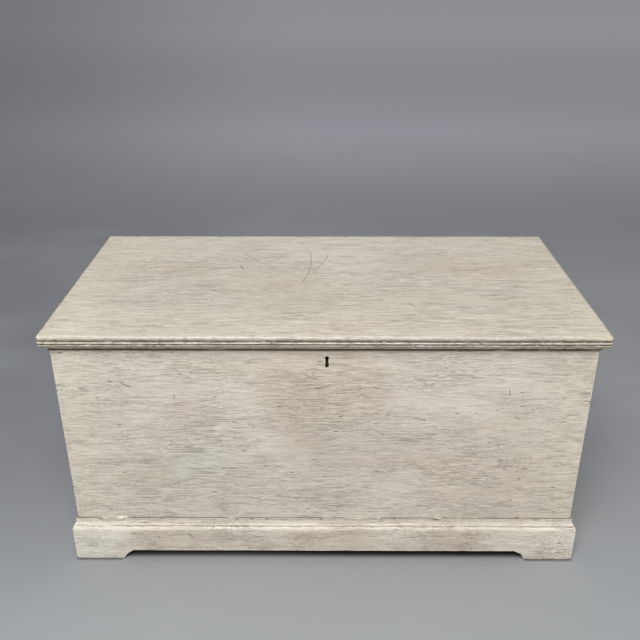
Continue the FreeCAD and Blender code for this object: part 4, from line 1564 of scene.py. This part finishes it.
# ---- Studio -------------------------------------------------------------------------------
@dataclass
class Studio:
    """Grey floor, soft lamps and the camera."""

    eye: Place = (-0.0010, -1.4369, 1.1041)
    pitch: float = 25.735           # degrees, downwards
    yaw: float = -0.30              # to the right
    roll: float = -0.05
    lens: float = 43.363            # mm
    sensor: float = 36.0            # mm
    floor_size: float = 120.0
    ambient: float = 0.36
    sky: str = "#8c8e92"
    aim: Place = (0.0, 0.0, 0.3)    # where the lamps point

    def build(self) -> None:
        """Make the floor, the lamps, the world and the camera."""
        self.build_camera()
        self.build_floor()
        self.build_lamps()
        self.build_world()
        bpy.context.scene.view_settings.view_transform = "Standard"

    def build_camera(self) -> None:
        """Stand the camera before the chest."""
        yaw, pitch, roll = (math.radians(angle) for angle in (self.yaw, self.pitch, self.roll))
        ahead = Vector((math.sin(yaw) * math.cos(pitch), math.cos(yaw) * math.cos(pitch),
                        -math.sin(pitch)))
        level_way = Vector((math.cos(yaw), -math.sin(yaw), 0))
        rise = level_way.cross(ahead)
        right = level_way * math.cos(roll) + rise * math.sin(roll)
        up = rise * math.cos(roll) - level_way * math.sin(roll)
        camera = put("camera", bpy.data.cameras.new("camera"))
        camera.data.lens = self.lens
        camera.data.sensor_width = self.sensor
        turn = Matrix((right, up, -ahead)).transposed()
        camera.matrix_world = Matrix.Translation(self.eye) @ turn.to_4x4()
        bpy.context.scene.camera = camera

    def build_floor(self) -> None:
        """Lay the floor."""
        bpy.ops.object.select_all(action="DESELECT")
        bpy.ops.mesh.primitive_plane_add(size=self.floor_size)
        floor = bpy.context.object
        floor.name = "floor"
        floor.data.materials.append(StudioFloor("painted_floor").material())

    def build_lamps(self) -> None:
        """Hang a wide soft lamp above the front, and a weaker one over each side."""
        for name, place, size, power in (
                ("key_lamp", (-0.25, -2.05, 2.95), 1.7, 118.0),
                ("left_lamp", (-2.6, 0.2, 2.4), 1.8, 8.0),
                ("right_lamp", (2.6, 0.2, 2.4), 1.8, 8.0)):
            lamp = bpy.data.lights.new(name, "AREA")
            lamp.size = size
            lamp.energy = power
            holder = put(name, lamp)
            holder.location = place
            way = Vector(self.aim) - Vector(place)
            holder.rotation_euler = way.to_track_quat("-Z", "Y").to_euler()

    def build_world(self) -> None:
        """Even light from all round, and a grey behind the floor's end."""
        world = bpy.data.worlds.new("studio")
        nodes = Nodes()
        nodes.start(world)
        light = nodes.add("Background", {"Color": srgb("#ffffff"), "Strength": self.ambient})
        seen = nodes.add("Background", {"Color": srgb(self.sky), "Strength": 1.0})
        ray = nodes.add("LightPath").outputs["Is Camera Ray"]
        mixed = nodes.add("MixShader", {0: ray, 1: light.outputs[0], 2: seen.outputs[0]})
        nodes.add("OutputWorld", {"Surface": mixed.outputs[0]})
        bpy.context.scene.world = world


def main() -> None:
    """Build the chest and its studio."""
    logging.basicConfig(level=logging.INFO, format="%(name)s: %(message)s")
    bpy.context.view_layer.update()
    finishes = Finishes()
    for part in (Lid(finishes), Case(finishes), Plinth(finishes), Ironwork(finishes), Studio()):
        part.build()
        log.info("%s built", type(part).__name__)


if __name__ == "__main__":
    main()
